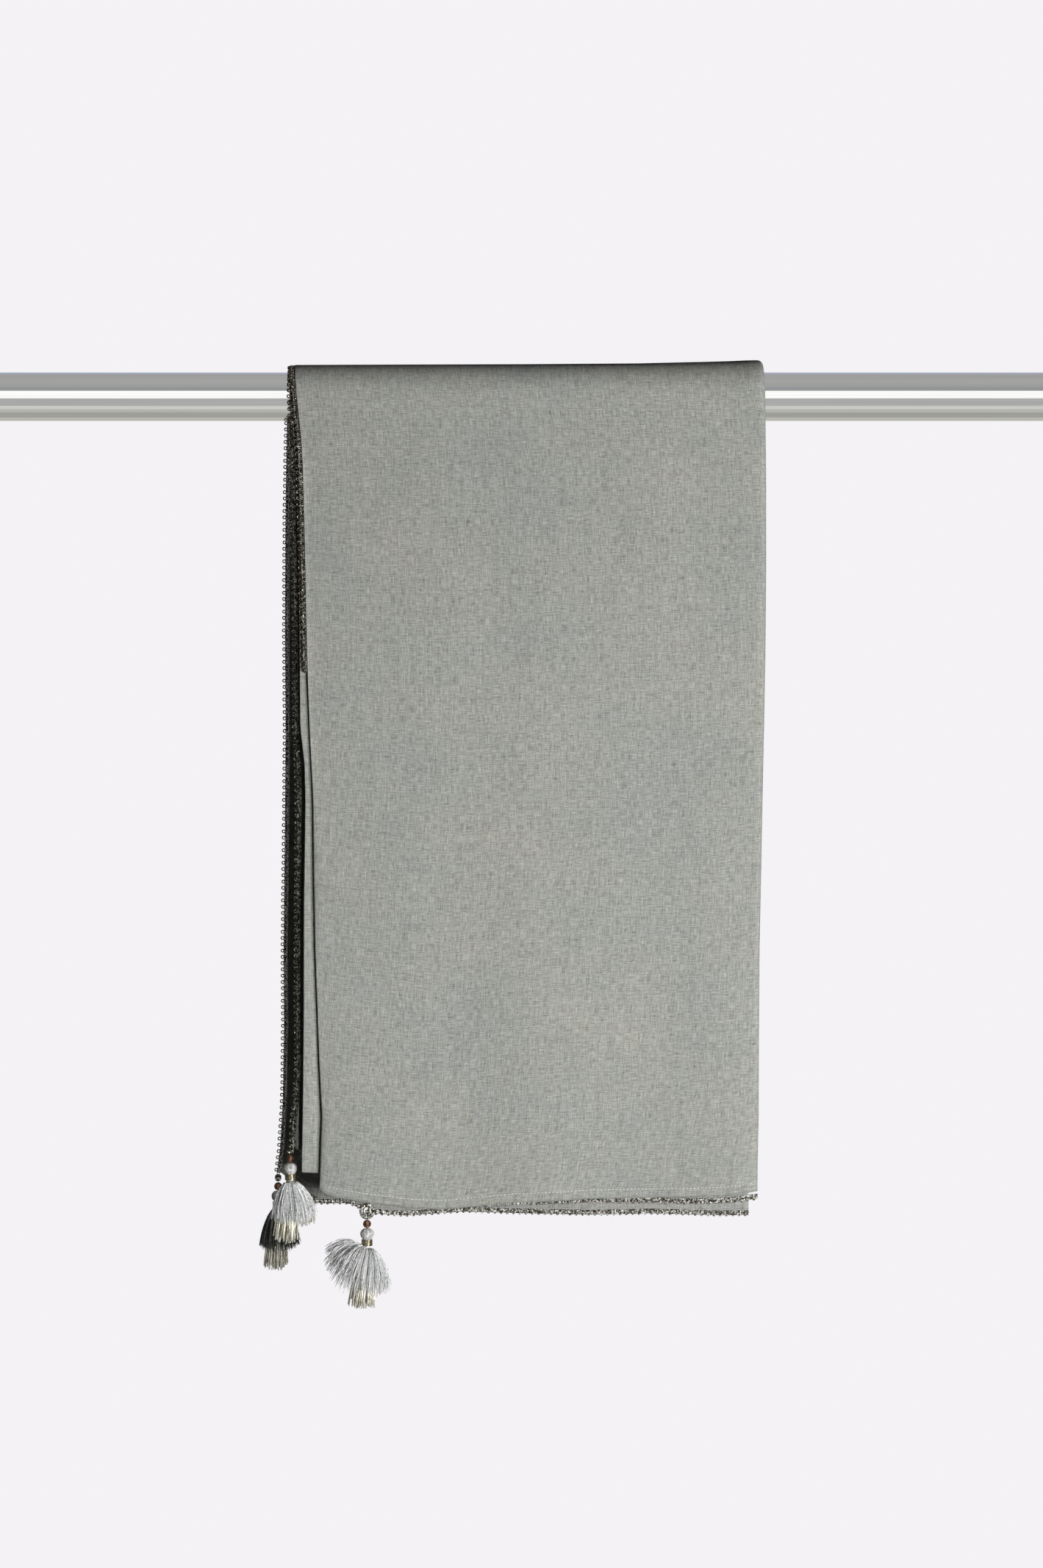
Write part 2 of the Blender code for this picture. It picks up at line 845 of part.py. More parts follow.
def collar(name, centre):
    points = []
    faces = []
    outline = (
        (COLLAR_INNER, COLLAR_TOP),
        (COLLAR_OUTER, COLLAR_TOP),
        (COLLAR_OUTER, COLLAR_BOTTOM),
        (COLLAR_INNER, COLLAR_BOTTOM),
    )
    sides = 20
    for radius, z in outline:
        for x, y, level in ring_points(radius, z, sides):
            points.append((x + centre[0], y + centre[1], level + centre[2]))
    for ring in range(4):
        after = (ring + 1) % 4
        for i in range(sides):
            k = (i + 1) % sides
            faces.append((ring * sides + k, ring * sides + i, after * sides + i, after * sides + k))
    return add_object(name, points, faces, "gilt_collar")


for tag, x, y, z, lean, left, right, share, length, wide, tall in TASSELS:
    loop_z = z + BEAD_RADIUS + GAP + LOOP_WIRE + tall
    loop_of_lace("loop_" + tag, x, y, loop_z, wide, tall)
    bead("bead_" + tag, x, y, z)
    head = (x, y, z - HEAD_DROP)
    tassel_head("tassel_" + tag, head, lean, left, right, share, length)
    collar("collar_" + tag, head)
    tassel_under("underskirt_" + tag, head, lean, left, right, share)
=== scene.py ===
# %% [markdown]
# # A dupatta stole over a rail
# A dupatta is a long light stole. This one is folded lengthwise and hung over a polished tube.
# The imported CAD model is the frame: every piece below is built on its solids, in metres, with
# +Z up and the stole's front facing -Y. The origin is on the rail's axis.

# %% Load the frame
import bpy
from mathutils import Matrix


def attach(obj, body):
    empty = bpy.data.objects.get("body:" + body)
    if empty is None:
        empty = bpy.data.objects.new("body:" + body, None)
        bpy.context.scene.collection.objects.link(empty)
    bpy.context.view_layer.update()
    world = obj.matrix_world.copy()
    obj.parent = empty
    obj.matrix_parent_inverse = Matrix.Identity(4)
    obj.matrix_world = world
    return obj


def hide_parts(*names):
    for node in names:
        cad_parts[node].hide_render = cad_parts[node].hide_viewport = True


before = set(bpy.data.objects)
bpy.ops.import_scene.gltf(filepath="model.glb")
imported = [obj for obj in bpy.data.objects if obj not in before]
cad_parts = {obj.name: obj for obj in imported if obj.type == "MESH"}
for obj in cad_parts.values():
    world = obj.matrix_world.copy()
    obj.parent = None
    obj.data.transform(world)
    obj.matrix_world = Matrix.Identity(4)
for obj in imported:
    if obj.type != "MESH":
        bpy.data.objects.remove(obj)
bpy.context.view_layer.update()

import math
import bpy
import numpy as np

MM = 0.001
rng = np.random.default_rng(41)

# %% [markdown]
# ## Shader maths as Python
# A finish is a graph of nodes. Writing it node by node is long, so a small class wraps a socket
# and lets numbers and sockets be added and multiplied. `Finish.node` makes any other node.


# %% A socket that can be calculated with
class Field:
    """One output socket of a finish."""

    def __init__(self, finish, socket):
        self.finish = finish
        self.socket = socket

    def math(self, operation, *others, flip=False):
        values = [self, *others]
        if flip:
            values.reverse()
        inputs = dict(enumerate(values))
        return self.finish.node("ShaderNodeMath", {"operation": operation}, inputs)

    def __add__(self, other):
        return self.math("ADD", other)

    __radd__ = __add__

    def __mul__(self, other):
        return self.math("MULTIPLY", other)

    __rmul__ = __mul__

    def __sub__(self, other):
        return self.math("SUBTRACT", other)

    def __rsub__(self, other):
        return self.math("SUBTRACT", other, flip=True)

    def limited(self):
        """Held between 0 and 1."""
        return self.finish.node(
            "ShaderNodeMath", {"operation": "ADD", "use_clamp": True}, {0: self, 1: 0.0}
        )


# %% A finish: one Principled material
class Finish:
    """A material, and the one method that adds its nodes."""

    def __init__(self, name, roughness=0.6, metallic=0.0, **constants):
        self.material = bpy.data.materials.new(name)
        self.material.use_nodes = True
        self.tree = self.material.node_tree
        self.shader = self.tree.nodes["Principled BSDF"]
        self.shader.inputs["Roughness"].default_value = roughness
        self.shader.inputs["Metallic"].default_value = metallic
        for key, value in constants.items():
            self.shader.inputs[key.replace("_", " ")].default_value = value

    def feed(self, target, value):
        if isinstance(value, Field):
            self.tree.links.new(value.socket, target)
        else:
            target.default_value = value

    def node(self, kind, settings=None, inputs=None, output=0):
        made = self.tree.nodes.new(kind)
        for key, value in (settings or {}).items():
            if key == "stops":
                ramp = made.color_ramp
                while len(ramp.elements) < len(value):
                    ramp.elements.new(0.5)
                for element, (at, colour) in zip(ramp.elements, value):
                    element.position = at
                    element.color = (*colour, 1.0)
            else:
                setattr(made, key, value)
        for key, value in (inputs or {}).items():
            self.feed(made.inputs[key], value)
        return Field(self, made.outputs[output])

    def place(self):
        """Positions in metres, in the row frame."""
        return self.node("ShaderNodeTexCoord", output="Object")

    def cut(self):
        """Positions on the flat cut of the cloth, in metres."""
        return self.node("ShaderNodeUVMap", {"uv_map": "cut"})

    def noise(self, spot, scale=1.0, detail=2.0, rough=0.5):
        inputs = {"Vector": spot, "Scale": scale, "Detail": detail, "Roughness": rough}
        return self.node("ShaderNodeTexNoise", {}, inputs)

    def streaks(self, spot, scale, detail=2.0, rough=0.5):
        """Noise with its own scale along each axis."""
        settings = {"vector_type": "POINT"}
        spot = self.node("ShaderNodeMapping", settings, {"Vector": spot, "Scale": scale})
        return self.noise(spot, 1.0, detail, rough)

    def ramp(self, value, stops):
        return self.node("ShaderNodeValToRGB", {"stops": stops}, {"Fac": value})

    def blend(self, share, first, second, kind="MIX"):
        """Two colours through one Mix node, whose colour sockets are its inputs 6 and 7."""
        settings = {"data_type": "RGBA", "blend_type": kind}
        return self.node("ShaderNodeMix", settings, {0: share, 6: first, 7: second}, output=2)

    def bump(self, height, strength, distance):
        inputs = {"Height": height, "Strength": strength, "Distance": distance}
        return self.node("ShaderNodeBump", {}, inputs)

    def give(self, name, value):
        self.feed(self.shader.inputs[name], value)


print("shader helpers ready")

# %% [markdown]
# ## The camera
# The photograph looks straight at the stole from a little over two metres, level with the
# middle of its fall. A 100 mm lens keeps the edges as parallel as they are there.

# %% Place the camera
IMAGE_TALL = 2133
MM_PER_PIXEL = 0.376
# Metres: the depth at which a pixel is that wide, and the camera's height
PANEL_FRONT = -0.0205
CAMERA_HIGH = -0.1999


def in_scene(name, data):
    """A new object for a mesh, a lamp or a camera, linked to the scene."""
    made = bpy.data.objects.new(name, data)
    bpy.context.scene.collection.objects.link(made)
    return made


lens = bpy.data.cameras.new("photo_camera")
lens.lens = 100.0
lens.sensor_width = 36.0
lens.sensor_fit = "AUTO"
lens.clip_end = 20.0
distance = IMAGE_TALL * MM_PER_PIXEL * MM * lens.lens / lens.sensor_width
camera = in_scene("photo_camera", lens)
camera.location = (0.0, PANEL_FRONT - distance, CAMERA_HIGH)
camera.rotation_euler = (math.radians(90.0), 0.0, 0.0)
bpy.context.scene.camera = camera
print("camera distance", round(distance, 3), "m")

# %% [markdown]
# ## Sizes shared by every layer
# The stole hangs as layers over the rail. Each layer is described by the depth at which it lies
# above the rail, by its edges and by its hems. The tables are real millimetres and nearly those
# of the CAD model, so that the thin shells here lie on its solids. A few edges are a millimetre
# further in or out, where a thin cloth shows it.

# %% Tables of the folds and hems, in millimetres
ROD_RADIUS = 12.5
CLOTH = 1.0
GAP = 0.3
SHELL = 0.55
LIP_WIDTH = 4.2
LIP_NARROWS = 0.85
MIDDLE_SPREAD = 2.6
OUTER_SPREAD = 4.4
BACK_LOOSER = 1.4
TIGHTER_AT_FOLD = 0.75
SPREAD_DROP = 125.0
STOLE_LEFT = -112.0
STOLE_WIDE = 225.0
BACK_FLARE = 2.4
FRONT_WAVE = 1.1
BACK_WAVE = 1.6
WAVE_LENGTH = 96.0
FALL = 411.0
INNER_FALL = 404.0
LACE_WIDTH = 3.4
# Height, left edge, right edge of the front panel
PANEL_EDGES = (
    (-412.0, -103.4, 120.9), (-406.5, -103.2, 120.9), (-391.0, -102.8, 121.1),
    (-372.6, -102.1, 121.5), (-342.5, -103.6, 121.6), (-286.0, -105.6, 122.0),
    (-248.5, -106.2, 122.8), (-211.0, -106.6, 123.5), (-173.0, -108.5, 124.3),
    (-135.7, -109.9, 125.0), (-91.7, -110.8, 125.4), (-40.0, -112.2, 125.4),
    (-22.9, -113.1, 125.2), (-2.3, -115.4, 125.0), (15.0, -117.3, 124.4),
)
# Height, left edge, right edge of the outer layer behind
OUTER_BACK_EDGES = (
    (-410.0, -112.5, 122.8), (-300.0, -114.5, 122.8), (-200.0, -116.0, 123.5),
    (-90.0, -116.8, 124.6), (15.0, -116.6, 124.4),
)
# Height, left edge in front, left edge behind of the plain folded layers
MIDDLE_LEFT = (
    (-410.0, -112.7, -112.0), (-361.0, -111.9, -112.4), (-324.0, -111.6, -112.8),
    (-267.0, -111.5, -113.2), (-211.0, -110.7, -113.4), (-192.0, -111.2, -113.6),
    (-173.0, -113.4, -113.8), (-88.7, -113.9, -114.2), (15.0, -114.6, -114.6),
)
# Height, left edge in front, left edge behind of the innermost layer
INNER_LEFT = (
    (-404.0, -115.6, -125.1), (-390.0, -115.6, -123.4), (-363.0, -113.2, -121.9),
    (-325.0, -113.4, -121.3), (-287.0, -113.3, -121.5), (-211.0, -112.9, -120.7),
    (-173.0, -114.3, -120.4), (-117.0, -114.4, -120.7), (-58.0, -115.9, -120.4),
    (-14.0, -116.4, -119.7), (0.0, -116.9, -118.1), (15.0, -116.9, -116.9),
)
# Across, height of the front panel's hem
PANEL_HEM = (
    (-103.4, -407.8), (-99.5, -410.5), (-90.0, -412.3), (-75.0, -414.6), (-56.2, -417.0),
    (-41.2, -417.8), (-22.4, -416.1), (-3.6, -414.2), (15.2, -413.5), (34.0, -412.3),
    (56.6, -412.0), (90.4, -411.2), (105.5, -410.5), (121.0, -408.2), (126.0, -407.8),
)
# Across, height of the innermost layer's hem in front and behind
INNER_HEMS = (
    (-125.0, -386.7, -402.1), (-116.0, -387.2, -409.1), (-105.7, -391.5, -415.3),
    (-90.1, -397.5, -415.0), (-77.5, -401.5, -420.3), (-60.0, -404.0, -421.4),
    (-30.4, -405.5, -419.5), (0.0, -406.0, -420.5), (34.4, -406.0, -420.9),
    (68.0, -405.5, -420.3), (101.3, -405.0, -421.5), (120.0, -404.5, -421.4),
)
# Across, height of the outer layer's hem behind
OUTER_BACK_HEM = (
    (-121.0, -380.5), (-112.5, -381.5), (-98.0, -389.5), (-80.0, -397.5), (-50.0, -402.5),
    (0.0, -404.5), (60.0, -405.5), (126.0, -404.5),
)
# Across, height of the folded layers' ends in front and behind, their thickness
MIDDLE_STACK = (
    (-114.6, -398.6, -391.2, 1.0), (-90.0, -399.6, -395.2, 1.1),
    (-60.0, -401.2, -398.2, 1.2), (0.0, -403.7, -399.7, 1.4), (60.0, -405.2, -400.2, 1.8),
    (95.0, -405.7, -400.2, 2.6), (122.0, -405.7, -399.7, 3.4),
)
# Height, width of the margin turned under the front panel's left edge
MARGIN_WIDTHS = (
    (-412.0, 24.0), (-395.0, 21.5), (-345.0, 16.0), (-285.0, 11.0), (-210.0, 6.5),
    (-130.0, 3.0),
)
print("front fall", FALL, "mm over a rail of", 2 * ROD_RADIUS, "mm")

# %% [markdown]
# ## Reading the tables, and placing a point on a layer
# A point is known by where it is on its way (front fall, over the rail, back fall), by how far
# across it is, and by its depth. The falls also swing a little out of plane, more so near the
# hems, and every layer of a fall shares that swing, so that the layers never cross.


# %% Helpers that place points
def along(table, at, column=1):
    """One column of a table at one or many values of its first column."""
    rows = sorted(table)
    return np.interp(at, [row[0] for row in rows], [row[column] for row in rows])


def eased(value):
    value = np.clip(value, 0.0, 1.0)
    return value * value * (3.0 - 2.0 * value)


def wave(where, x, z):
    """How far a fall swings out of plane."""
    grown = (np.maximum(-z, 0.0) / FALL) ** 1.6
    turn = 2 * math.pi * x / WAVE_LENGTH
    if where == "front":
        return grown * FRONT_WAVE * (np.sin(turn + 0.7) + 0.4 * np.sin(0.43 * turn - 1.0))
    return grown * (BACK_FLARE + BACK_WAVE * np.sin(0.8 * turn + 2.1))


def spread(where, x, z, amount):
    """How far a layer stands off the ones beneath it: more at the open edges than at the fold."""
    opened = eased((np.maximum(-np.asarray(z, float), 0.0) - 4.0) / SPREAD_DROP)
    looser = BACK_LOOSER if where == "back" else 1.0
    nearer = np.clip((np.asarray(x, float) - STOLE_LEFT) / STOLE_WIDE, 0.0, 1.0)
    return amount * looser * opened * (1.0 - TIGHTER_AT_FOLD * nearer)


def placed(where, angle, x, z, depth, amount=0.0):
    """Points at a depth above the rail's surface, in millimetres."""
    x = np.asarray(x, float)
    depth = np.asarray(depth, float) + np.zeros_like(x)
    z = np.asarray(z, float) + np.zeros_like(x)
    if where == "over":
        reach = ROD_RADIUS + depth
        return np.stack((x, -reach * math.cos(angle), reach * math.sin(angle)), -1)
    out = ROD_RADIUS + depth + spread(where, x, z, amount) + wave(where, x, z)
    return np.stack((x, -out if where == "front" else out, z), -1)


def stations(front_rows, over_rows, back_rows):
    """Rows down the cloth: where, the angle over the rail, the share of the fall."""
    rows = [("front", 0.0, 1.0 - i / front_rows) for i in range(front_rows + 1)]
    rows += [("over", math.pi * i / over_rows, 0.0) for i in range(1, over_rows)]
    rows += [("back", math.pi, i / back_rows) for i in range(back_rows + 1)]
    return rows


def stack_thickness(x):
    return along(MIDDLE_STACK, x, 3)


def outer_depth(x):
    """Depth of the outer layer's inner face above the rail."""
    return GAP + CLOTH + GAP + stack_thickness(x) + GAP


def behind_depth(x, z=-FALL):
    """Depth just behind the front panel, with the panel's own spread in it."""
    return outer_depth(x) + spread("front", x, z, OUTER_SPREAD) - GAP - CLOTH


def lip_width(where, share):
    """The tucked lip, which runs out towards the hem behind."""
    return LIP_WIDTH * (1.0 - LIP_NARROWS * share) if where == "back" else LIP_WIDTH


def side_of(where):
    return 2 if where == "back" else 1


def row_height(where, angle, share, hem):
    return ROD_RADIUS * math.sin(angle) if where == "over" else share * hem


print("outer layer lies", round(float(outer_depth(0.0)), 2), "mm above the rail at its middle")

# %% [markdown]
# ## From a grid of points to a piece
# Each layer is a grid: rows down the cloth and columns across it. Its mesh gets a UV map in
# metres of flat cloth, so that the weave has one scale everywhere, also over the rail.


# %% Mesh helpers
def piece_from(name, points, faces, finish, uv=None, smooth=True):
    """A mesh object from points in millimetres."""
    mesh = bpy.data.meshes.new(name)
    points = np.asarray(points, float).reshape(-1, 3) * MM
    mesh.from_pydata(points.tolist(), [], faces)
    if uv is not None:
        layer = mesh.uv_layers.new(name="cut")
        corners = np.empty(len(mesh.loops), np.int32)
        mesh.loops.foreach_get("vertex_index", corners)
        layer.data.foreach_set("uv", (np.asarray(uv).reshape(-1, 2)[corners] * MM).ravel())
    if smooth:
        mesh.shade_smooth()
    mesh.materials.append(finish.material)
    made = in_scene(name, mesh)
    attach(made, "root")
    return made


def grid_faces(rows, columns, closed=False):
    faces = []
    around = columns if closed else columns - 1
    for i in range(rows - 1):
        for j in range(around):
            k = (j + 1) % columns
            a, b = i * columns, (i + 1) * columns
            faces.append((a + j, a + k, b + k, b + j))
    return faces


def lengths_along(points, axis):
    """Running length of each grid line, for the UV map."""
    steps = np.linalg.norm(np.diff(points, axis=axis), axis=-1)
    start = np.zeros_like(np.take(steps, [0], axis=axis))
    return np.concatenate((start, np.cumsum(steps, axis=axis)), axis=axis)


def cloth_piece(name, grid, finish, thickness=SHELL):
    """A thin shell under a grid of points."""
    rows, columns = grid.shape[:2]
    across = lengths_along(grid, 1)
    down = lengths_along(grid, 0)
    uv = np.stack((across, np.repeat(down.mean(1)[:, None], columns, 1)), -1)
    made = piece_from(name, grid, grid_faces(rows, columns), finish, uv)
    shell = made.modifiers.new("shell", "SOLIDIFY")
    shell.thickness = thickness * MM
    shell.offset = -1.0
    shell.use_even_offset = True
    width = float(np.median(across[:, -1])) * MM
    length = float(np.median(down[-1])) * MM
    print(name, rows, "x", columns, "points,", round(width, 3), "x", round(length, 3), "m")
    return made, width, length


print("mesh helpers ready")

# %% [markdown]
# ## The weave
# The cloth is a fine plain weave with slubs: thicker bits of thread that show as short streaks
# both ways. Its dye is uneven too, from blue grey to beige grey in patches a few centimetres
# wide. Streaks are noise stretched along one axis of the flat cut.


# %% Make the sage weave
def weave_finish(name, shade):
    finish = Finish(name, roughness=0.9, Specular_IOR_Level=0.15)
    cut = finish.cut()
    warp = finish.streaks(cut, (2300.0, 200.0, 1.0), 2.0, 0.65)
    weft = finish.streaks(cut, (230.0, 2400.0, 1.0), 2.0, 0.65)
    slub_down = finish.streaks(cut, (900.0, 34.0, 1.0), 2.0, 0.55)
    slub_over = finish.streaks(cut, (38.0, 950.0, 1.0), 2.0, 0.55)
    patches = finish.streaks(cut, (13.0, 17.0, 1.0), 3.0, 0.55)
    clouds = finish.streaks(cut, (75.0, 50.0, 1.0), 3.0, 0.6)
    dye = finish.ramp(
        patches * 0.7 + clouds * 0.3,
        ((0.34, shade["cool"]), (0.5, shade["middle"]), (0.66, shade["warm"])),
    )
    threads = (warp - 0.5) * 1.3 + (weft - 0.5) * 1.4
    slubs = (slub_down - 0.5) * 0.55 + (slub_over - 0.5) * 0.45
    light = (threads + 0.5 + slubs * 0.8).limited()
    colour = finish.blend(light, (0.48, 0.48, 0.48, 1.0), (1.52, 1.52, 1.52, 1.0))
    finish.give("Base Color", finish.blend(1.0, dye, colour, "MULTIPLY"))
    relief = threads * 0.7 + slubs
    finish.give("Normal", finish.bump(relief, 0.35, 0.0003))
    finish.give("Roughness", 0.93 - light * 0.16)
    return finish


SAGE = {
    "cool": (0.306, 0.318, 0.300),
    "middle": (0.324, 0.331, 0.304),
    "warm": (0.345, 0.345, 0.309),
}
sage_weave = weave_finish("sage_weave", SAGE)
# The folded layers take a paler copy of the same weave, to make up for the shade that the front panel
# casts on them: painted light.
painted_light_sage = {name: tuple(1.14 * part for part in colour) for name, colour in SAGE.items()}
painted_light_weave = weave_finish("sage_weave_painted_light", painted_light_sage)
print("sage weave has", len(sage_weave.tree.nodes), "nodes")

# %% [markdown]
# ## The outer layer
# One sheet makes the front panel, the turn over the rail and the back panel. On its right it
# wraps the folded layers and tucks under them; on its left its margin is rolled behind the
# panel, wider towards the hem. So one row of points starts on the hidden margin, rounds the
# roll, crosses the panel, rounds the right fold and ends on the tucked lip.

# %% Sizes of the outer layer's rows
OUTER_ROWS = (150, 20, 110)
PANEL_COLUMNS = 96
ROLL_STEPS = 7
FOLD_STEPS = 11
HEM_BAND = 4.6
HEM_RAISE = 0.34


# %% Soft creases of the panel
def crease(where, x, z):
    """Small troughs and ridges pressed into the cloth, in millimetres outwards."""
    fade = eased(-z / 30.0)
    side = 1.0 if where == "front" else -1.0
    rise = 0.16 * np.sin(x / 8.3 + 0.8 * np.sin(z / 61.0) + side)
    rise += 0.22 * np.sin(x / 17.0 - 1.3 + z / 240.0)
    rise += 0.10 * np.sin(z / 23.0 + x / 90.0 + side)
    rise += 0.35 * np.exp(-(((x + 2.8 * side + 0.03 * z) / 1.6) ** 2)) * np.exp(-(((z + 30) / 28) ** 2))
    rise += 0.5 * np.exp(-(((z + 21.0 + (x + 100.0) * -1.5) / 3.0) ** 2)) * np.exp(
        -(((x + 100.0) / 8.0) ** 2)
    )
    rise += 0.45 * np.exp(-(((z + 370.0 - (x + 60.0) * 0.22) / 9.0) ** 2)) * np.exp(
        -(((x + 70.0) / 26.0) ** 2)
    )
    return rise * fade


def hem_rise(distance):
    """The rolled hem: a band a little thicker than the cloth, with a stitched groove."""
    band = eased((HEM_BAND + 0.5 - distance) / 0.7)
    groove = np.exp(-(((distance - HEM_BAND) / 0.35) ** 2))
    rounded = eased(distance / 0.8)
    return HEM_RAISE * band * (0.25 + 0.75 * rounded) - 0.3 * groove


def pucker(x, distance):
    """Small gathers that the stitches pull into the cloth along the hem."""
    near = np.exp(-(((distance - HEM_BAND) / 3.4) ** 2))
    return 0.09 * near * (np.sin(2 * math.pi * x / 5.9) + 0.7 * np.sin(2 * math.pi * x / 3.7 + 1.0))


# %% Rows of the outer layer
def outer_row(where, angle, share):
    hem_table = OUTER_BACK_HEM if where == "back" else PANEL_HEM
    edge_table = OUTER_BACK_EDGES if where == "back" else PANEL_EDGES
    level = row_height(where, angle, share, -FALL)
    left = float(along(edge_table, level, 1))
    right = float(along(edge_table, level, 2))
    top = float(outer_depth(right)) + CLOTH / 2 + float(spread(where, right, level, OUTER_SPREAD))
    low = GAP + CLOTH / 2
    radius = (top - low) / 2
    across = right - radius - CLOTH / 2
    middle = (top + low) / 2
    margin = float(along(MARGIN_WIDTHS, level)) if where != "back" else 0.6
    roll = 0.5 * float(np.clip(margin / 3.0, 0.25, 1.0)) + 0.12
    panel_x = left + roll + (across - left - roll) * np.linspace(0.0, 1.0, PANEL_COLUMNS)
    panel_low = outer_depth(panel_x) + spread(where, panel_x, level, OUTER_SPREAD)
    share_right = eased((panel_x - (across - 14.0)) / 14.0)
    panel_low = panel_low * (1 - share_right) + (middle + radius - CLOTH / 2) * share_right
    panel_d = panel_low + CLOTH
    hidden_x = left + roll + margin * np.linspace(1.0, 0.12, 6)
    hidden_d = outer_depth(hidden_x) + spread(where, hidden_x, level, OUTER_SPREAD)
    hidden_d += CLOTH - 2 * roll - 0.25
    turn = np.linspace(0.0, math.pi, ROLL_STEPS + 2)[1:-1]
    roll_x = left + roll - roll * np.sin(turn)
    roll_d = float(panel_d[0]) - roll - roll * np.cos(turn)
    bend = np.linspace(0.0, math.pi, FOLD_STEPS + 1)[1:]
    bend_x = across + (radius + CLOTH / 2) * np.sin(bend)
    bend_d = middle + (radius + CLOTH / 2) * np.cos(bend)
    lip_x = across - lip_width(where, share) * np.array((0.5, 1.0))
    lip_d = np.full(2, GAP)
    xs = np.concatenate((hidden_x, roll_x, panel_x, bend_x, lip_x))
    ds = np.concatenate((hidden_d, roll_d, panel_d, bend_d, lip_d))
    first_panel = len(hidden_x) + len(roll_x)
    hem = along(hem_table, xs)
    z = row_height(where, angle, share, hem) + np.zeros_like(xs)
    rise = np.zeros_like(xs)
    shown = slice(first_panel, first_panel + PANEL_COLUMNS)
    if where != "over":
        rise[shown] += crease(where, xs[shown], z[shown])
        to_hem = z - hem
        rise[: shown.stop] += hem_rise(to_hem[: shown.stop])
        rise[shown] += pucker(xs[shown], to_hem[shown])
    return placed(where, angle, xs, z, ds + rise)


def uneven_rows(front_rows, over_rows, back_rows):
    """Rows that stand closer near the hems, where the stitched band is."""
    rows = []
    for where, angle, share in stations(front_rows, over_rows, back_rows):
        near = 1.0 - share
        if where != "over":
            share = 1.0 - (near * 0.55 + 0.45 * near ** 2.4)
        rows.append((where, angle, share))
    return rows


outer_grid = np.array([outer_row(*row) for row in uneven_rows(*OUTER_ROWS)])
outer_cloth, outer_wide, outer_long = cloth_piece("outer_cloth", outer_grid, sage_weave)
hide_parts("outer_ply", "turned_margin")

# %% [markdown]
# ## The layers under it
# Only the left edges and the lowest hem of the other layers show. The folded middle layers end
# in a plain rounded fold at the left, and the innermost layer carries its own lace.


# %% Rows of the middle and inner layers
INNER_DEPTH = GAP + CLOTH * 0.8


def right_limit(where, angle, share, right_gap=0.0):
    """Where a layer ends at the right, inside the outer layer's fold."""
    level = row_height(where, angle, share, -FALL)
    edge_table = OUTER_BACK_EDGES if where == "back" else PANEL_EDGES
    edge = float(along(edge_table, level, 2))
    stand = float(spread(where, edge, level, OUTER_SPREAD))
    radius = (float(outer_depth(edge)) + stand - GAP) / 2
    return edge - radius - CLOTH / 2 - right_gap


def folded_row(where, angle, share):
    """The middle layers: round the left fold from behind to the front, then across."""
    level = row_height(where, angle, share, -INNER_FALL)
    left = float(along(MIDDLE_LEFT, level, side_of(where)))
    right = right_limit(where, angle, share)
    low = 2 * GAP + CLOTH
    thick = float(stack_thickness(left))
    radius = thick / 2 - 0.05
    turn = np.linspace(-math.pi / 2, math.pi / 2, 8)
    roll_x = left + radius - radius * np.cos(turn)
    roll_d = low + radius + radius * np.sin(turn)
    front_x = left + radius + (right - left - radius) * np.linspace(0.0, 1.0, 40)[1:]
    front_d = low + stack_thickness(front_x)
    back_x = front_x[::-1]
    xs = np.concatenate((back_x, roll_x, front_x))
    ds = np.concatenate((np.full(len(back_x), low + 0.3), roll_d, front_d - 0.1))
    hem = along(MIDDLE_STACK, xs, side_of(where))
    z = row_height(where, angle, share, hem) + np.zeros_like(xs)
    if where == "front":
        ds = ds + 0.12 * np.sin(z / 31.0) * eased(-z / 60.0)
        ds = ds + 1.1 * eased((-101.0 - xs) / 5.0) * eased((-z - 60.0) / 120.0)
    return placed(where, angle, xs, z, ds, MIDDLE_SPREAD)


def inner_row(where, angle, share):
    level = row_height(where, angle, share, -INNER_FALL)
    left = float(along(INNER_LEFT, level, side_of(where)))
    right = right_limit(where, angle, share, lip_width(where, share) + GAP)
    xs = left + (right - left) * np.concatenate(
        (np.array((0.0, 0.002, 0.006, 0.012, 0.02, 0.03)), np.linspace(0.045, 1.0, 84))
    )
    hem = along(INNER_HEMS, xs, side_of(where))
    z = row_height(where, angle, share, hem) + np.zeros_like(xs)
    ds = np.full(len(xs), INNER_DEPTH)
    if where != "over":
        ds = ds + np.minimum(hem_rise(z - hem), 0.25) * 0.6
    return placed(where, angle, xs, z, ds)


middle_grid = np.array([folded_row(*row) for row in uneven_rows(90, 14, 60)])
# The folded layers wear the paler copy of the weave: painted light.
middle_cloth, middle_wide, middle_long = cloth_piece("folded_cloth", middle_grid, painted_light_weave, 0.3)
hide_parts("middle_plies")
inner_grid = np.array([inner_row(*row) for row in uneven_rows(110, 18, 130)])
inner_cloth, inner_wide, inner_long = cloth_piece("inner_cloth", inner_grid, sage_weave)
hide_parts("inner_ply")

# %% [markdown]
# ## Stitches
# The hem is rolled and sewn with one line of small pale stitches, 1.9 mm apart. Each stitch is
# a short thread that lies on the cloth. They are all joined in one mesh.


# %% Thin threads as tubes
def tube_points(path, radius, sides, lift=(0.0, 0.0, 1.0)):
    """Rings of points round a path, in millimetres, with a radius for each point."""
    path = np.asarray(path, float)
    radius = np.asarray(radius, float) + np.zeros(len(path))
    ahead = np.gradient(path, axis=0)
    ahead /= np.linalg.norm(ahead, axis=1)[:, None] + 1e-9
    side = np.cross(ahead, np.asarray(lift, float) + np.array((0.013, 0.007, 0.0)))
    side /= np.linalg.norm(side, axis=1)[:, None] + 1e-9
    up = np.cross(side, ahead)
    turns = 2 * math.pi * np.arange(sides) / sides
    ring = np.cos(turns)[None, :, None] * side[:, None] + np.sin(turns)[None, :, None] * up[:, None]
    return path[:, None] + ring * radius[:, None, None]


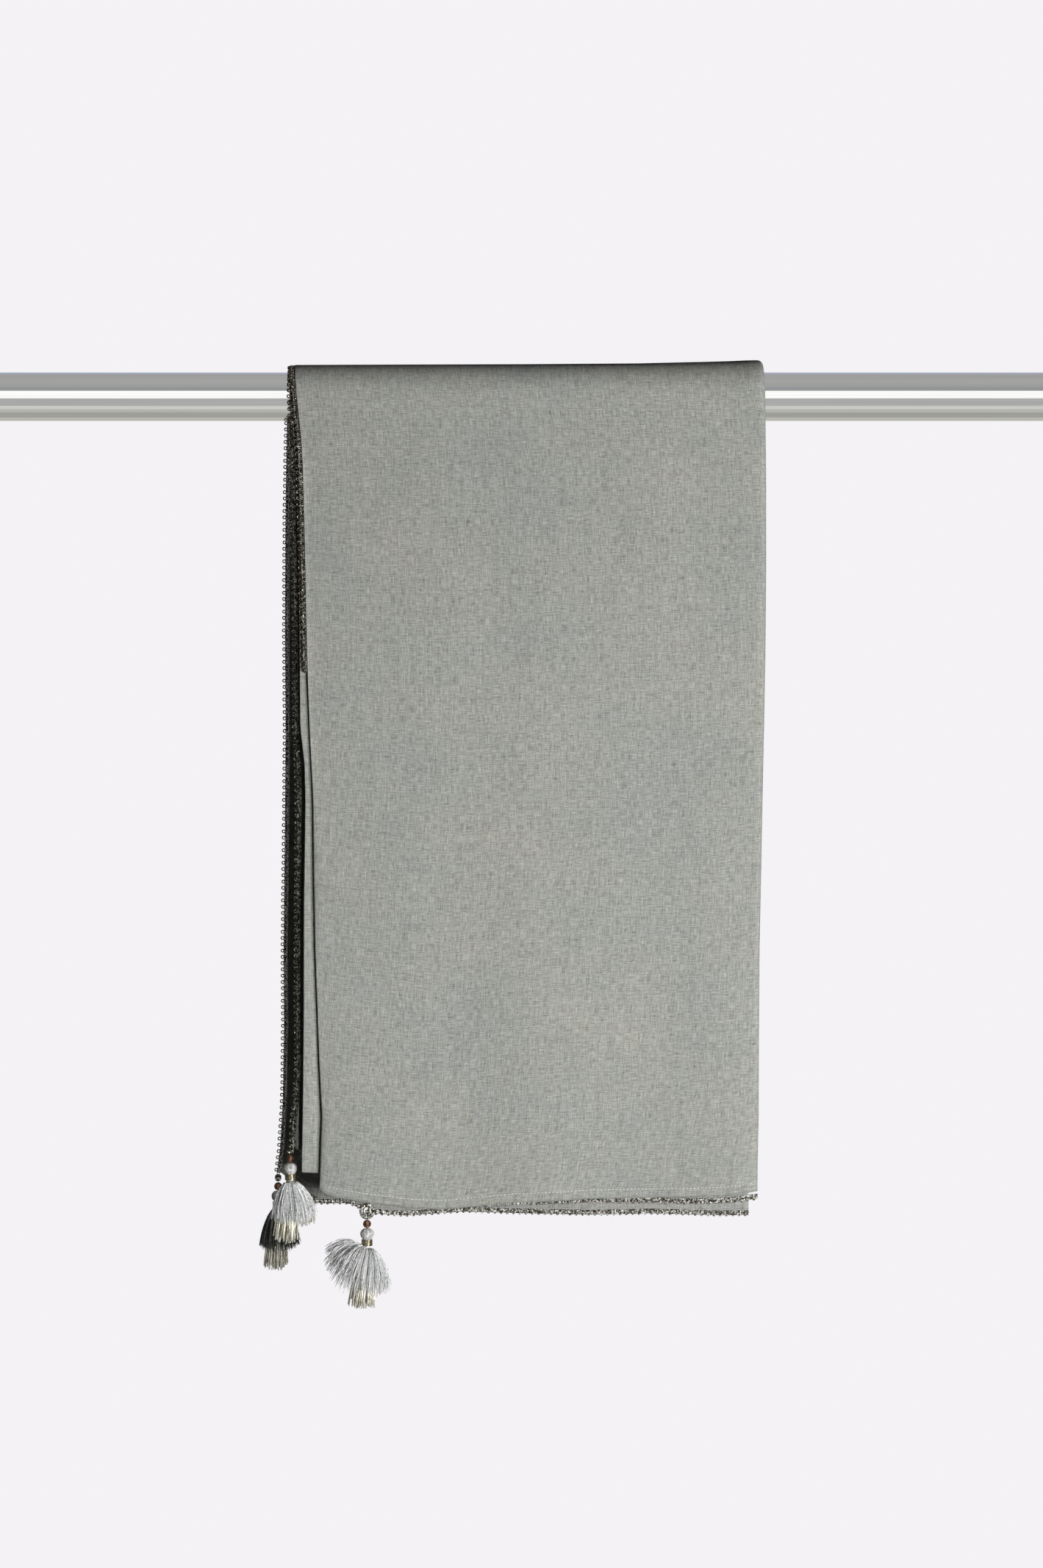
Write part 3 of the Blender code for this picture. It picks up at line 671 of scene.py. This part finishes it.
def tube_faces(start, count, sides):
    """Faces between the rings of a tube, and one over each end."""
    faces = []
    for i in range(count - 1):
        a, b = start + i * sides, start + (i + 1) * sides
        for j in range(sides):
            k = (j + 1) % sides
            faces.append((a + j, b + j, b + k, a + k))
    faces.append(tuple(range(start, start + sides)))
    last = start + (count - 1) * sides
    faces.append(tuple(range(last + sides - 1, last - 1, -1)))
    return faces


def threads_piece(name, paths, radii, sides, finish, lift=(0.0, 0.0, 1.0)):
    """Many threads in one mesh."""
    points = []
    faces = []
    start = 0
    for path, radius in zip(paths, radii):
        ring = tube_points(path, radius, sides, lift)
        points.append(ring.reshape(-1, 3))
        faces += tube_faces(start, len(ring), sides)
        start += len(ring) * sides
    made = piece_from(name, np.concatenate(points), faces, finish)
    print(name, len(paths), "threads,", len(faces), "faces")
    return made


def thread_finish(name, colours, roughness, metallic=0.0, twist=5200.0, depth=0.00006, narrow=0.4,
                  **extra):
    """A twisted thread: fine diagonal lines, and strands that differ a little in colour."""
    finish = Finish(name, roughness=roughness, metallic=metallic, **extra)
    spot = finish.place()
    fine = finish.streaks(spot, (twist, twist, twist * 0.25), 2.0, 0.6)
    broad = finish.noise(spot, 900.0, 2.0, 0.5)
    start = 0.5 - narrow / 2
    stops = [(start + narrow * i / (len(colours) - 1), c) for i, c in enumerate(colours)]
    finish.give("Base Color", finish.ramp(fine * 0.45 + broad * 0.55, stops))
    finish.give("Roughness", roughness - 0.12 + fine * 0.24)
    finish.give("Normal", finish.bump(fine, 0.5, depth))
    return finish


stitch_thread = thread_finish(
    "stitch_thread", ((0.58, 0.59, 0.56), (0.82, 0.83, 0.80)), 0.5
)


# %% Lay the stitches along the hems
STITCH_PITCH = 1.9
STITCH_LONG = 1.3
STITCH_RADIUS = 0.19


def outer_surface(where, x, z, extra):
    """A point on the outer layer's face."""
    depth = outer_depth(x) + CLOTH + crease(where, x, z) + extra
    return placed(where, 0.0, x, z, depth, OUTER_SPREAD)


def stitches_along(name, where, start, end, hem_table, column, surface):
    paths = []
    count = int(abs(end - start) / STITCH_PITCH)
    for i in range(count):
        at = start + (end - start) * (i + 0.5) / count
        long = STITCH_LONG * float(rng.uniform(0.75, 1.1))
        xs = at + np.linspace(-0.5, 0.5, 4) * long
        hem = along(hem_table, xs, column)
        z = hem + HEM_BAND + float(rng.uniform(-0.12, 0.12))
        arch = np.array((-0.22, 0.12, 0.12, -0.22))
        paths.append(surface(where, xs, z, arch))
    made = threads_piece(name, paths, [STITCH_RADIUS] * len(paths), 5, stitch_thread)


def inner_surface(where, x, z, extra):
    """A point on the face of the innermost layer that is turned to the rail."""
    return placed(where, 0.0, x, z, INNER_DEPTH - SHELL - extra, 0.0)


stitches_along("panel_hem_stitches", "front", -99.0, 118.0, PANEL_HEM, 1, outer_surface)
stitches_along("inner_hem_stitches", "back", -119.0, 115.0, INNER_HEMS, 2, inner_surface)
stitches_along("outer_back_stitches", "back", -109.0, 118.0, OUTER_BACK_HEM, 1, outer_surface)

# %% [markdown]
# ## The lace
# The lace is a narrow braid of antique silver thread, 3.4 mm wide. Thick strands cross in a
# flat plait over the cloth's edge, and a thinner thread makes a round loop outside it every
# 3.25 mm. It is built as real threads that follow the edge, because its loops show against
# the pale background. Where it lies in the shade of the folds, it takes a darker copy of the
# silver finish, which paints that shade on.

# %% Make the lace
LACE_PITCH = 3.25
LOOP_POINTS = 14
PLAIT_POINTS = 9
LOOP_RISE = 0.28
PLAIT_RISE = 0.42
# Kind: strands of the plait, its middle, half width, strand radius, then the loops' middle, reach,
# swing and thread radius
LACE_KINDS = {
    "side": (3, 1.1, 0.85, 0.38, 2.45, 0.95, 1.5, 0.32),
    "hem": (4, 1.4, 1.05, 0.38, 2.7, 0.42, 1.1, 0.26),
}

# Its colour runs at random from near black to near white over about a millimetre. The dark is the
# silver's own uneven tone, and the near-white spots are painted glints.
silver_lace = thread_finish(
    "silver_lace",
    ((0.03, 0.028, 0.018), (0.17, 0.16, 0.12), (1.0, 0.99, 0.94)),
    0.28, 0.6, 2600.0, 0.00008, 0.16,
)
# A darker copy of the silver lace, for the lace in the shade of the folds: painted shade.
painted_shade_lace = thread_finish(
    "painted_shade_lace",
    ((0.012, 0.011, 0.007), (0.075, 0.066, 0.045), (0.62, 0.60, 0.52)),
    0.32, 0.7, 2600.0, 0.00008, 0.2,
)


def carried(path, outward, face, run, out, rise):
    """Points carried along an edge: out from it and up from its face."""
    steps = np.concatenate(([0.0], np.cumsum(np.linalg.norm(np.diff(path, axis=0), axis=1))))
    spots = [np.interp(run, steps, path[:, i]) for i in range(3)]
    ways = [np.interp(run, steps, outward[:, i]) for i in range(3)]
    tops = [np.interp(run, steps, face[:, i]) for i in range(3)]
    way = np.stack(ways, -1)
    way /= np.linalg.norm(way, axis=1)[:, None]
    top = np.stack(tops, -1)
    top /= np.linalg.norm(top, axis=1)[:, None]
    return np.stack(spots, -1) + way * out[:, None] + top * rise[:, None]


def lace_run(name, path, outward, face, node, kind="side", finish=silver_lace):
    """The plait and its loops along one edge."""
    path = np.asarray(path, float)
    outward = np.asarray(outward, float)
    face = np.asarray(face, float)
    strands, middle, half, thick, loop_at, reach, swing, thin = LACE_KINDS[kind]
    total = float(np.linalg.norm(np.diff(path, axis=0), axis=1).sum())
    loops = max(int(total / LACE_PITCH), 1)
    pitch = total / loops
    turn = np.linspace(0.0, 2 * math.pi * loops, loops * LOOP_POINTS + 1)
    knots = np.arange(0, loops + 2) * 2 * math.pi
    uneven = np.interp(turn, knots, rng.uniform(0.84, 1.1, loops + 2))
    run = pitch * turn / (2 * math.pi)
    loop = carried(
        path, outward, face,
        np.clip(run + swing * np.sin(turn), 0.0, total),
        loop_at - reach * np.cos(turn) * uneven,
        LOOP_RISE * np.sin(turn + 0.9),
    )
    cross = np.linspace(0.0, 2 * math.pi * loops, loops * PLAIT_POINTS + 1)
    run = pitch * cross / (2 * math.pi)
    plait = []
    for i in range(strands):
        phase = 2 * math.pi * i / strands
        plait.append(carried(
            path, outward, face, run,
            middle + half * np.sin(cross + phase),
            PLAIT_RISE * np.sin(2.0 * (cross + phase)),
        ))
    radii = [thin] + [thick] * strands
    made = threads_piece(name, [loop, *plait], radii, 5, finish, (0.0, 1.0, 0.0))
    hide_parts(node)


def side_edge(rows, left_table, hem_table, depth_of, amount, column_of, lift=0.5):
    """The path of a long edge, with its outward and face directions."""
    path = []
    face = []
    for where, angle, share in rows:
        level = row_height(where, angle, share, -INNER_FALL if left_table is INNER_LEFT else -FALL)
        x = float(along(left_table, level, column_of(where)))
        hem = float(along(hem_table, x, column_of(where)))
        z = row_height(where, angle, share, hem)
        depth = float(depth_of(x)) + lift
        low = placed(where, angle, np.array([x]), np.array([z]), depth, amount)[0]
        high = placed(where, angle, np.array([x]), np.array([z]), depth + 1.0, amount)[0]
        path.append(low)
        face.append(high - low)
    outward = np.tile((-1.0, 0.0, 0.0), (len(path), 1))
    return path, outward, face


# Radians over the rail where the innermost lace leaves the shade, and how far down the panel's
# left edge the outer lace shows
LEAVES_SHADE = 1.9
UPPER_SHARE = 0.36
all_rows = stations(60, 14, 60)
turned = [i for i, row in enumerate(all_rows) if row[0] == "over" and row[1] > LEAVES_SHADE][0]
# The innermost lace takes the darker copy in front, up to where it leaves the shade over the rail:
# painted shade.
inner_halves = (
    ("inner_front_side_threads", all_rows[: turned + 1], painted_shade_lace),
    ("inner_back_side_threads", all_rows[turned:], silver_lace),
)
for half_name, half_rows, half_finish in inner_halves:
    edge = side_edge(half_rows, INNER_LEFT, INNER_HEMS, lambda x: GAP, 0.0, side_of)
    lace_run(half_name, *edge, "inner_side_lace", "side", half_finish)
upper_rows = [
    row for row in all_rows if row[0] == "over" or (row[0] == "front" and row[2] < UPPER_SHARE)
]
edge = side_edge(upper_rows, PANEL_EDGES, PANEL_HEM, outer_depth, OUTER_SPREAD, lambda w: 1, 0.2)
# The upper lace on the panel's left edge lies in shade too and takes the darker copy: painted shade.
lace_run("panel_side_lace_threads", *edge, "outer_side_lace", "side", painted_shade_lace)
back_rows = [row for row in all_rows if row[0] == "back"]
edge = side_edge(back_rows, OUTER_BACK_EDGES, OUTER_BACK_HEM, outer_depth, OUTER_SPREAD, lambda w: 1)
lace_run("outer_back_side_threads", *edge, "outer_side_lace")


# %% The lace under the hems
def hem_edge(where, start, end, table, column, depth_of, amount=0.0, shows=None, down=-1.0):
    """The path of a hem, with its outward and face directions."""
    steps = max(int(abs(end - start) / 2.5), 8)
    x = np.linspace(start, end, steps)
    z = along(table, x, column)
    if shows is not None:
        z = z + LACE_WIDTH - along(shows, x)
    depth = depth_of(x) + 0.5
    path = placed(where, 0.0, x, z, depth, amount)
    face = placed(where, 0.0, x, z, depth + 1.0, amount) - path
    outward = np.tile((0.0, 0.0, down), (steps, 1))
    return path, outward, face


def plain_depth(x):
    return np.full(np.shape(x), GAP)


# Across, how much of the lace shows below the front panel's hem
PANEL_LACE_SHOWS = (
    (-46.0, 0.9), (-20.0, 1.2), (20.0, 2.0), (57.0, 2.9), (90.0, 4.2), (121.0, 4.6),
)
hem_runs = (
    ("panel_hem_lace_threads", "panel_hem_lace",
     hem_edge("front", -46.0, 120.6, PANEL_HEM, 1, behind_depth, shows=PANEL_LACE_SHOWS)),
    ("panel_turned_lace_threads", "panel_turned_lace",
     hem_edge("front", -76.0, -46.0, PANEL_HEM, 1, behind_depth, down=1.0)),
    ("inner_front_lace_threads", "inner_front_lace",
     hem_edge("front", -113.0, 112.0, INNER_HEMS, 1, plain_depth)),
    ("inner_back_lace_threads", "inner_back_lace",
     hem_edge("back", -122.0, 118.0, INNER_HEMS, 2, plain_depth)),
    ("outer_back_lace_threads", "outer_back_lace",
     hem_edge("back", -110.0, 119.0, OUTER_BACK_HEM, 1, outer_depth, OUTER_SPREAD)),
)
for run_name, node, edge in hem_runs:
    lace_run(run_name, *edge, node, "hem")

# %% The lace on the margin that is turned under
MARGIN_ROWS = 60
margin_z = np.linspace(-130.0, -409.5, MARGIN_ROWS)
margin_x = along(PANEL_EDGES, margin_z) + 0.6 + along(MARGIN_WIDTHS, margin_z)
margin_path = placed("front", 0.0, margin_x, margin_z, behind_depth(margin_x, margin_z) + 0.3)
rightwards = np.tile((1.0, 0.0, 0.0), (MARGIN_ROWS, 1))
forwards = np.tile((0.0, -1.0, 0.0), (MARGIN_ROWS, 1))
lace_run("margin_lace_threads", margin_path, rightwards, forwards, "margin_lace")

# %% [markdown]
# ## The tassels
# Each corner has a tassel on a small lace loop: a faceted bronze bead, a ball of wound thread,
# a pale gold binding, a full skirt of fine silver-grey threads and, below it, a shorter
# under-skirt of flat pale gold threads. The skirts are built thread by thread, because the
# threads spread like a brush and their ends are ragged.

# %% Sizes of the tassels
# Name, the bead's middle in millimetres, the skirt's lean in degrees, its depth as a share of its
# width, the loop's half width and half height
TASSELS = (
    ("front_left", -118.6, -13.0, -392.1, 6.0, 0.62, 1.6, 0.6),
    ("back_left", -126.6, 17.0, -409.1, 2.0, 0.62, 1.5, 1.6),
    ("front_hem", -79.0, -21.5, -424.8, -12.0, 0.62, 3.4, 3.6),
    ("back_hem", -114.6, 24.2, -387.2, 0.0, 0.5, 1.5, 1.0),
)
# Name, how far the skirt opens to the left and right in degrees, its length, the under-skirt's lean
SKIRTS = {
    "front_left": (19.0, 22.0, 21.0, -5.0),
    "back_left": (16.0, 20.0, 20.5, -3.0),
    "front_hem": (68.0, 29.0, 24.5, -6.0),
    "back_hem": (16.0, 16.0, 20.0, 0.0),
}
BEAD_RADIUS = 2.15
HEAD_DROP = 4.65
DOME_CENTRE = -7.4
SKIRT_THREADS = 620
UNDER_THREADS = 150
UNDER_LONG = 27.5
LOOP_WIRE = 0.45

bead_bronze = Finish("bead_bronze", roughness=0.16, metallic=0.85, Coat_Weight=0.6)
bead_tone = bead_bronze.noise(bead_bronze.place(), 520.0, 3.0, 0.6)
bead_bronze.give("Base Color", bead_bronze.ramp(
    bead_tone, ((0.3, (0.10, 0.055, 0.035)), (0.52, (0.34, 0.17, 0.10)), (0.7, (0.62, 0.40, 0.27)))
))
bead_bronze.give("Roughness", 0.1 + bead_tone * 0.2)
skirt_thread = thread_finish(
    "skirt_thread", ((0.30, 0.305, 0.30), (0.90, 0.91, 0.90), (1.0, 1.0, 1.0)), 0.4,
    0.0, 3800.0, 0.00005, 0.26, Sheen_Weight=0.4,
)
wound_thread = thread_finish(
    "wound_thread", ((0.14, 0.14, 0.135), (0.52, 0.52, 0.51), (0.86, 0.86, 0.85)), 0.42,
    0.0, 2400.0, 0.00010, 0.34,
)
# A darker copy of the skirt thread, for the tassels that hang in the stole's shade behind: painted
# shade.
painted_shade_thread = thread_finish(
    "painted_shade_thread", ((0.02, 0.022, 0.02), (0.075, 0.08, 0.072), (0.20, 0.21, 0.19)), 0.5,
    0.0, 3800.0, 0.00005, 0.3,
)
gilt_thread = thread_finish(
    "gilt_thread", ((0.42, 0.39, 0.27), (0.90, 0.87, 0.74), (1.0, 0.98, 0.92)), 0.34,
    0.25, 2400.0, 0.00006, 0.3,
)
collar_wire = thread_finish(
    "collar_wire", ((0.28, 0.24, 0.14), (0.55, 0.50, 0.36), (0.80, 0.75, 0.60)), 0.28,
    0.95, 2600.0, 0.00005,
)


# %% Turned shapes of a tassel
def ring_shape(name, centre, outline, sides, finish, ripple=None, smooth=True):
    """An outline of radius and height, turned about Z and closed at both ends."""
    turns = 2 * math.pi * np.arange(sides) / sides
    points = []
    for radius, z in outline:
        reach = radius * (1.0 + (ripple(turns, z) if ripple else 0.0 * turns))
        points.append(np.stack((reach * np.cos(turns), reach * np.sin(turns), np.full(sides, z)), -1))
    points = np.array(points) + np.array(centre)
    faces = [tuple(reversed(f)) for f in grid_faces(len(outline), sides, closed=True)]
    faces.append(tuple(range(sides)))
    last = (len(outline) - 1) * sides
    faces.append(tuple(range(last + sides - 1, last - 1, -1)))
    return piece_from(name, points, faces, finish, smooth=smooth)


def bead_shape(tag, x, y, z):
    levels = np.radians((88.0, 62.0, 34.0, 8.0, -18.0, -46.0, -74.0, -88.0))
    outline = [(BEAD_RADIUS * math.cos(a), BEAD_RADIUS * math.sin(a)) for a in levels]
    made = ring_shape("bead_cut_" + tag, (x, y, z), outline, 11, bead_bronze, smooth=False)
    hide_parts("bead_" + tag)


def head_shape(tag, centre):
    """The thread ball: threads run from its top to the binding, so it is ribbed."""
    heights = np.linspace(2.3, -6.8, 30)
    ball = 1.0 - ((heights + 0.5) / 3.15) ** 2
    radii = np.maximum(3.4 * np.sqrt(np.maximum(ball, 0.0)), np.where(heights < 0.0, 2.1, 0.9))

    def ribs(turns, z):
        lobes = 0.018 * np.sin(9 * turns + 1.3 * z) + 0.03 * np.sin(2 * turns + 0.5 * z)
        return lobes + 0.02 * np.sin(31 * turns + 0.8 * z)

    made = ring_shape("head_" + tag, centre, list(zip(radii, heights)), 96, wound_thread, ribs)


def collar_shape(tag, centre):
    """The gold binding: wire wound round the neck eight times."""
    heights = np.linspace(-3.2, -6.5, 50)
    radii = 2.66 + 0.22 * np.abs(np.sin((heights + 3.2) / 3.3 * math.pi * 8))
    radii[0] = radii[-1] = 2.15
    made = ring_shape("binding_" + tag, centre, list(zip(radii, heights)), 40, collar_wire)
    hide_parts("collar_" + tag)


def brush(centre, lean, left, right, flat, length, count, start_radius, polar_range, drop):
    """Paths of threads that leave a dome, spread, and droop towards their ends."""
    paths = []
    for _ in range(count):
        turn = float(rng.uniform(0.0, 2 * math.pi))
        depth = math.sqrt(float(rng.uniform(0.0, 1.0)))
        polar = math.radians(polar_range[0] + (polar_range[1] - polar_range[0]) * depth)
        side = 0.5 * (1.0 + math.cos(turn))
        opening = math.radians(left + (right - left) * side) * depth * float(rng.uniform(0.86, 1.08))
        out = np.array((math.cos(turn), math.sin(turn) * flat, 0.0))
        at = np.array((0.0, 0.0, drop))
        at = at + out * start_radius * math.sin(polar) / max(flat, 0.75)
        at[2] -= start_radius * math.cos(polar)
        long = length * float(rng.uniform(0.86, 1.04)) * (1.0 - 0.16 * opening)
        bow = float(rng.normal(0.0, 0.06))
        path = [at]
        for i in range(6):
            share = (i + 0.5) / 6
            angle = opening * (1.72 - 1.25 * share) + polar * 0.2 * (1.0 - share) ** 3 + bow * share
            way = out * math.sin(angle) - np.array((0.0, 0.0, math.cos(angle)))
            way /= np.linalg.norm(way)
            path.append(path[-1] + way * long / 6)
        path = np.array(path)
        tilt = math.radians(lean)
        x, z = path[:, 0].copy(), path[:, 2] - DOME_CENTRE
        path[:, 0] = x * math.cos(tilt) - z * math.sin(tilt)
        path[:, 2] = x * math.sin(tilt) + z * math.cos(tilt) + DOME_CENTRE
        paths.append(path + np.array(centre))
    return paths


def skirt_shape(tag, centre, lean, left, right, flat, length):
    paths = brush(
        centre, lean, left, right, flat, length, SKIRT_THREADS, 2.6, (4.0, 84.0),
        DOME_CENTRE + 0.3,
    )
    # The tassels behind take the darker copy of the thread: painted shade.
    finish = painted_shade_thread if tag.startswith("back") else skirt_thread
    thin = np.array((0.17, 0.17, 0.16, 0.155, 0.15, 0.14, 0.08))
    made = threads_piece("skirt_" + tag, paths, [thin] * len(paths), 4, finish)
    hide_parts("tassel_" + tag)


def under_shape(tag, centre, lean, flat):
    paths = brush(
        centre, lean, 6.0, 6.0, max(flat, 0.7), UNDER_LONG, UNDER_THREADS, 1.1, (2.0, 80.0),
        DOME_CENTRE - 2.4,
    )
    thin = np.array((0.16, 0.2, 0.24, 0.27, 0.28, 0.28, 0.26))
    made = threads_piece("under_threads_" + tag, paths, [thin] * len(paths), 4, gilt_thread)
    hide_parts("underskirt_" + tag)


def loop_shape(tag, x, y, z, wide, tall):
    """A hanging loop of the same lace: three strands plaited round an oval."""
    turn = np.linspace(0.0, 2 * math.pi, 97)
    repeats = max(round((wide + tall) * 0.8), 3)
    thick = 0.17 * (wide + tall) * 0.5 + 0.1
    paths = []
    for i in range(3):
        phase = 2 * math.pi * i / 3
        out = 0.64 + 0.34 * np.sin(repeats * turn + phase)
        paths.append(np.stack((
            x + wide * out * np.cos(turn),
            y + 0.45 * np.sin(2.0 * (repeats * turn + phase)),
            z + (tall + 0.2) * out * np.sin(turn),
        ), -1))
    made = threads_piece("loop_threads_" + tag, paths, [thick] * 3, 7, silver_lace, (0.0, 1.0, 0.0))
    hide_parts("loop_" + tag)


# %% Build the four tassels
for tag, x, y, z, lean, flat, wide, tall in TASSELS:
    left, right, length, under_lean = SKIRTS[tag]
    centre = (x, y, z - HEAD_DROP)
    loop_shape(tag, x, y, z + BEAD_RADIUS + GAP + LOOP_WIRE + tall, wide, tall)
    bead_shape(tag, x, y, z)
    head_shape(tag, centre)
    collar_shape(tag, centre)
    skirt_shape(tag, centre, lean, left, right, flat, length)
    under_shape(tag, centre, under_lean, flat)

# %% [markdown]
# ## The rail
# The rail is a mirror-polished tube. Its look is all reflection, so its finish is a metal with
# low roughness, and the bands on it come from bright cards that are set up further on.

# %% Finish the rail
polished = Finish("polished_rail", roughness=0.06, metallic=1.0)
brushed = polished.streaks(polished.place(), (6.0, 1500.0, 1500.0), 3.0)
polished.give("Base Color", polished.ramp(
    brushed, ((0.3, (0.74, 0.74, 0.73)), (0.7, (0.82, 0.82, 0.82)))
))
polished.give("Roughness", 0.015 + brushed * 0.04)
for node in ("rail_tube", "rail_cap_left", "rail_cap_right"):
    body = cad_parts[node]
    for spot in body.material_slots:
        spot.material = polished.material
print("rail finished")

# %% [markdown]
# ## The flat size of each sheet
# The flat size of the cloth that is modelled in each sheet is printed. The real stole is
# one rectangle of 0.98 by 2.5 m, most of which is folded away inside.

for cloth, wide, long in (
    (outer_cloth, outer_wide, outer_long),
    (middle_cloth, middle_wide, middle_long),
    (inner_cloth, inner_wide, inner_long),
):
    print(cloth.name, "was cut", round(wide, 3), "x", round(long, 3), "m")

# %% [markdown]
# ## Background and light
# The photograph has a plain pale background. A pale floor lies well below the tassels, curves up
# all round and closes overhead, so that every view has it. It is seen but lights nothing, so that
# the dark gaps between the layers stay dark. One soft key light comes from the right and low, a
# small one fills from nearby, and three stand behind for the views from there.


# %% Floor and backdrop
def glowing(name, colour, strength, **extra):
    """A finish that gives an even light of its own and takes none."""
    return Finish(name, roughness=1.0, Base_Color=(0.0, 0.0, 0.0, 1.0),
                  Emission_Color=(*colour, 1.0), Emission_Strength=strength, **extra)


def studio_mesh(name, points, faces, finish):
    """A mesh that belongs to the studio, and that lights and shades nothing."""
    mesh = bpy.data.meshes.new(name)
    mesh.from_pydata(points, [], faces)
    mesh.shade_smooth()
    mesh.materials.append(finish.material)
    made = in_scene(name, mesh)
    made.visible_diffuse = False
    made.visible_shadow = False
    return made


def backdrop():
    """A pale floor that curves up into walls all round and closes overhead."""
    sides = 64
    outline = [(0.02, -1.2), (3.2, -1.2)]
    outline += [(3.2 + 0.8 * math.sin(a), -0.4 - 0.8 * math.cos(a)) for a in np.linspace(0.1, 1.57, 10)]
    outline += [(4.0, 2.6), (0.02, 3.4)]
    points = []
    for radius, z in outline:
        for k in range(sides):
            turn = 2 * math.pi * k / sides
            points.append((radius * math.cos(turn), radius * math.sin(turn), z))
    paper = glowing("pale_paper", (0.903, 0.887, 0.913), 1.0, Specular_IOR_Level=0.0)
    faces = grid_faces(len(outline), sides, closed=True)
    studio_mesh("pale_floor", points, faces, paper).visible_glossy = False


backdrop()


# %% Lights
def soft_light(name, place, aim, size, power):
    data = bpy.data.lights.new(name, "AREA")
    data.size = size
    data.energy = power
    made = in_scene(name, data)
    made.location = place
    way = np.array(aim, float) - np.array(place, float)
    yaw = math.atan2(way[1], way[0])
    pitch = math.atan2(way[2], math.hypot(way[0], way[1]))
    made.rotation_euler = (math.pi / 2 + pitch, 0.0, yaw - math.pi / 2)
    return made


world = bpy.data.worlds.new("studio")
world.use_nodes = True
world.node_tree.nodes["Background"].inputs["Color"].default_value = (0.07, 0.07, 0.07, 1.0)
world.cycles_visibility.diffuse = False
bpy.context.scene.world = world
soft_light("key", (2.25, -2.5, -0.62), (0.0, 0.0, -0.23), 0.6, 81.0)
near = soft_light("near", (0.34, -0.90, -0.38), (0.0, 0.0, -0.28), 0.22, 5.6)
near.visible_glossy = False
# Place and power of the lights behind
BEHIND = (((-1.5, 1.9, 0.1), 26.0), ((1.4, 2.0, 0.0), 26.0), ((-2.2, 0.3, 0.2), 7.0))
for number, (place, power) in enumerate(BEHIND):
    behind = soft_light("behind_" + str(number), place, (0.0, 0.02, -0.2), 0.8, power)
    behind.visible_glossy = False
    behind.visible_camera = False
print("lights", 2 + len(BEHIND))


# %% Cards that only the polished metal mirrors
# Metres: how far off the cards stand, and from where to where they reach on each side
CARD_AWAY = 1.9
CARD_FROM = 0.17
CARD_TO = 0.75


def card(name, low, high, colour, strength):
    """Two bright cards, left and right, seen in the rail between two elevations in degrees."""
    corners = []
    faces = []
    for sign in (-1.0, 1.0):
        start = len(corners)
        for level in (math.radians(low), math.radians(high)):
            for side in (CARD_FROM * sign, CARD_TO * sign):
                corners.append((side, -CARD_AWAY * math.cos(level), CARD_AWAY * math.sin(level)))
        faces.append((start, start + 1, start + 3, start + 2))
    glow = glowing(name, colour, strength)
    studio_mesh(name, corners, faces, glow).visible_camera = False


# Lowest and highest elevation, colour, strength
CARDS = (
    (-9.0, 25.0, (1.0, 1.0, 0.99), 1.22),
    (-16.5, -9.0, (0.42, 0.52, 0.76), 1.0),
    (-40.0, -16.5, (0.50, 0.505, 0.505), 1.0),
    (-50.0, -40.0, (0.56, 0.555, 0.53), 1.0),
    (-66.0, -50.0, (0.74, 0.745, 0.70), 1.0),
    (-84.0, -66.0, (0.57, 0.57, 0.54), 1.0),
    (-128.0, -84.0, (0.43, 0.435, 0.395), 1.0),
    (-170.0, -128.0, (0.58, 0.58, 0.53), 1.0),
    (25.0, 50.0, (0.37, 0.375, 0.39), 1.0),
    (50.0, 93.0, (0.455, 0.455, 0.455), 1.0),
    (93.0, 101.0, (1.0, 0.90, 0.78), 1.9),
    (101.0, 126.0, (0.43, 0.425, 0.42), 1.0),
    (126.0, 170.0, (0.44, 0.48, 0.60), 1.0),
)
for number, (low, high, colour, strength) in enumerate(CARDS):
    card("rail_card_" + str(number), low, high, colour, strength)
bpy.context.scene.view_settings.view_transform = "Standard"
print("rail cards", len(CARDS))
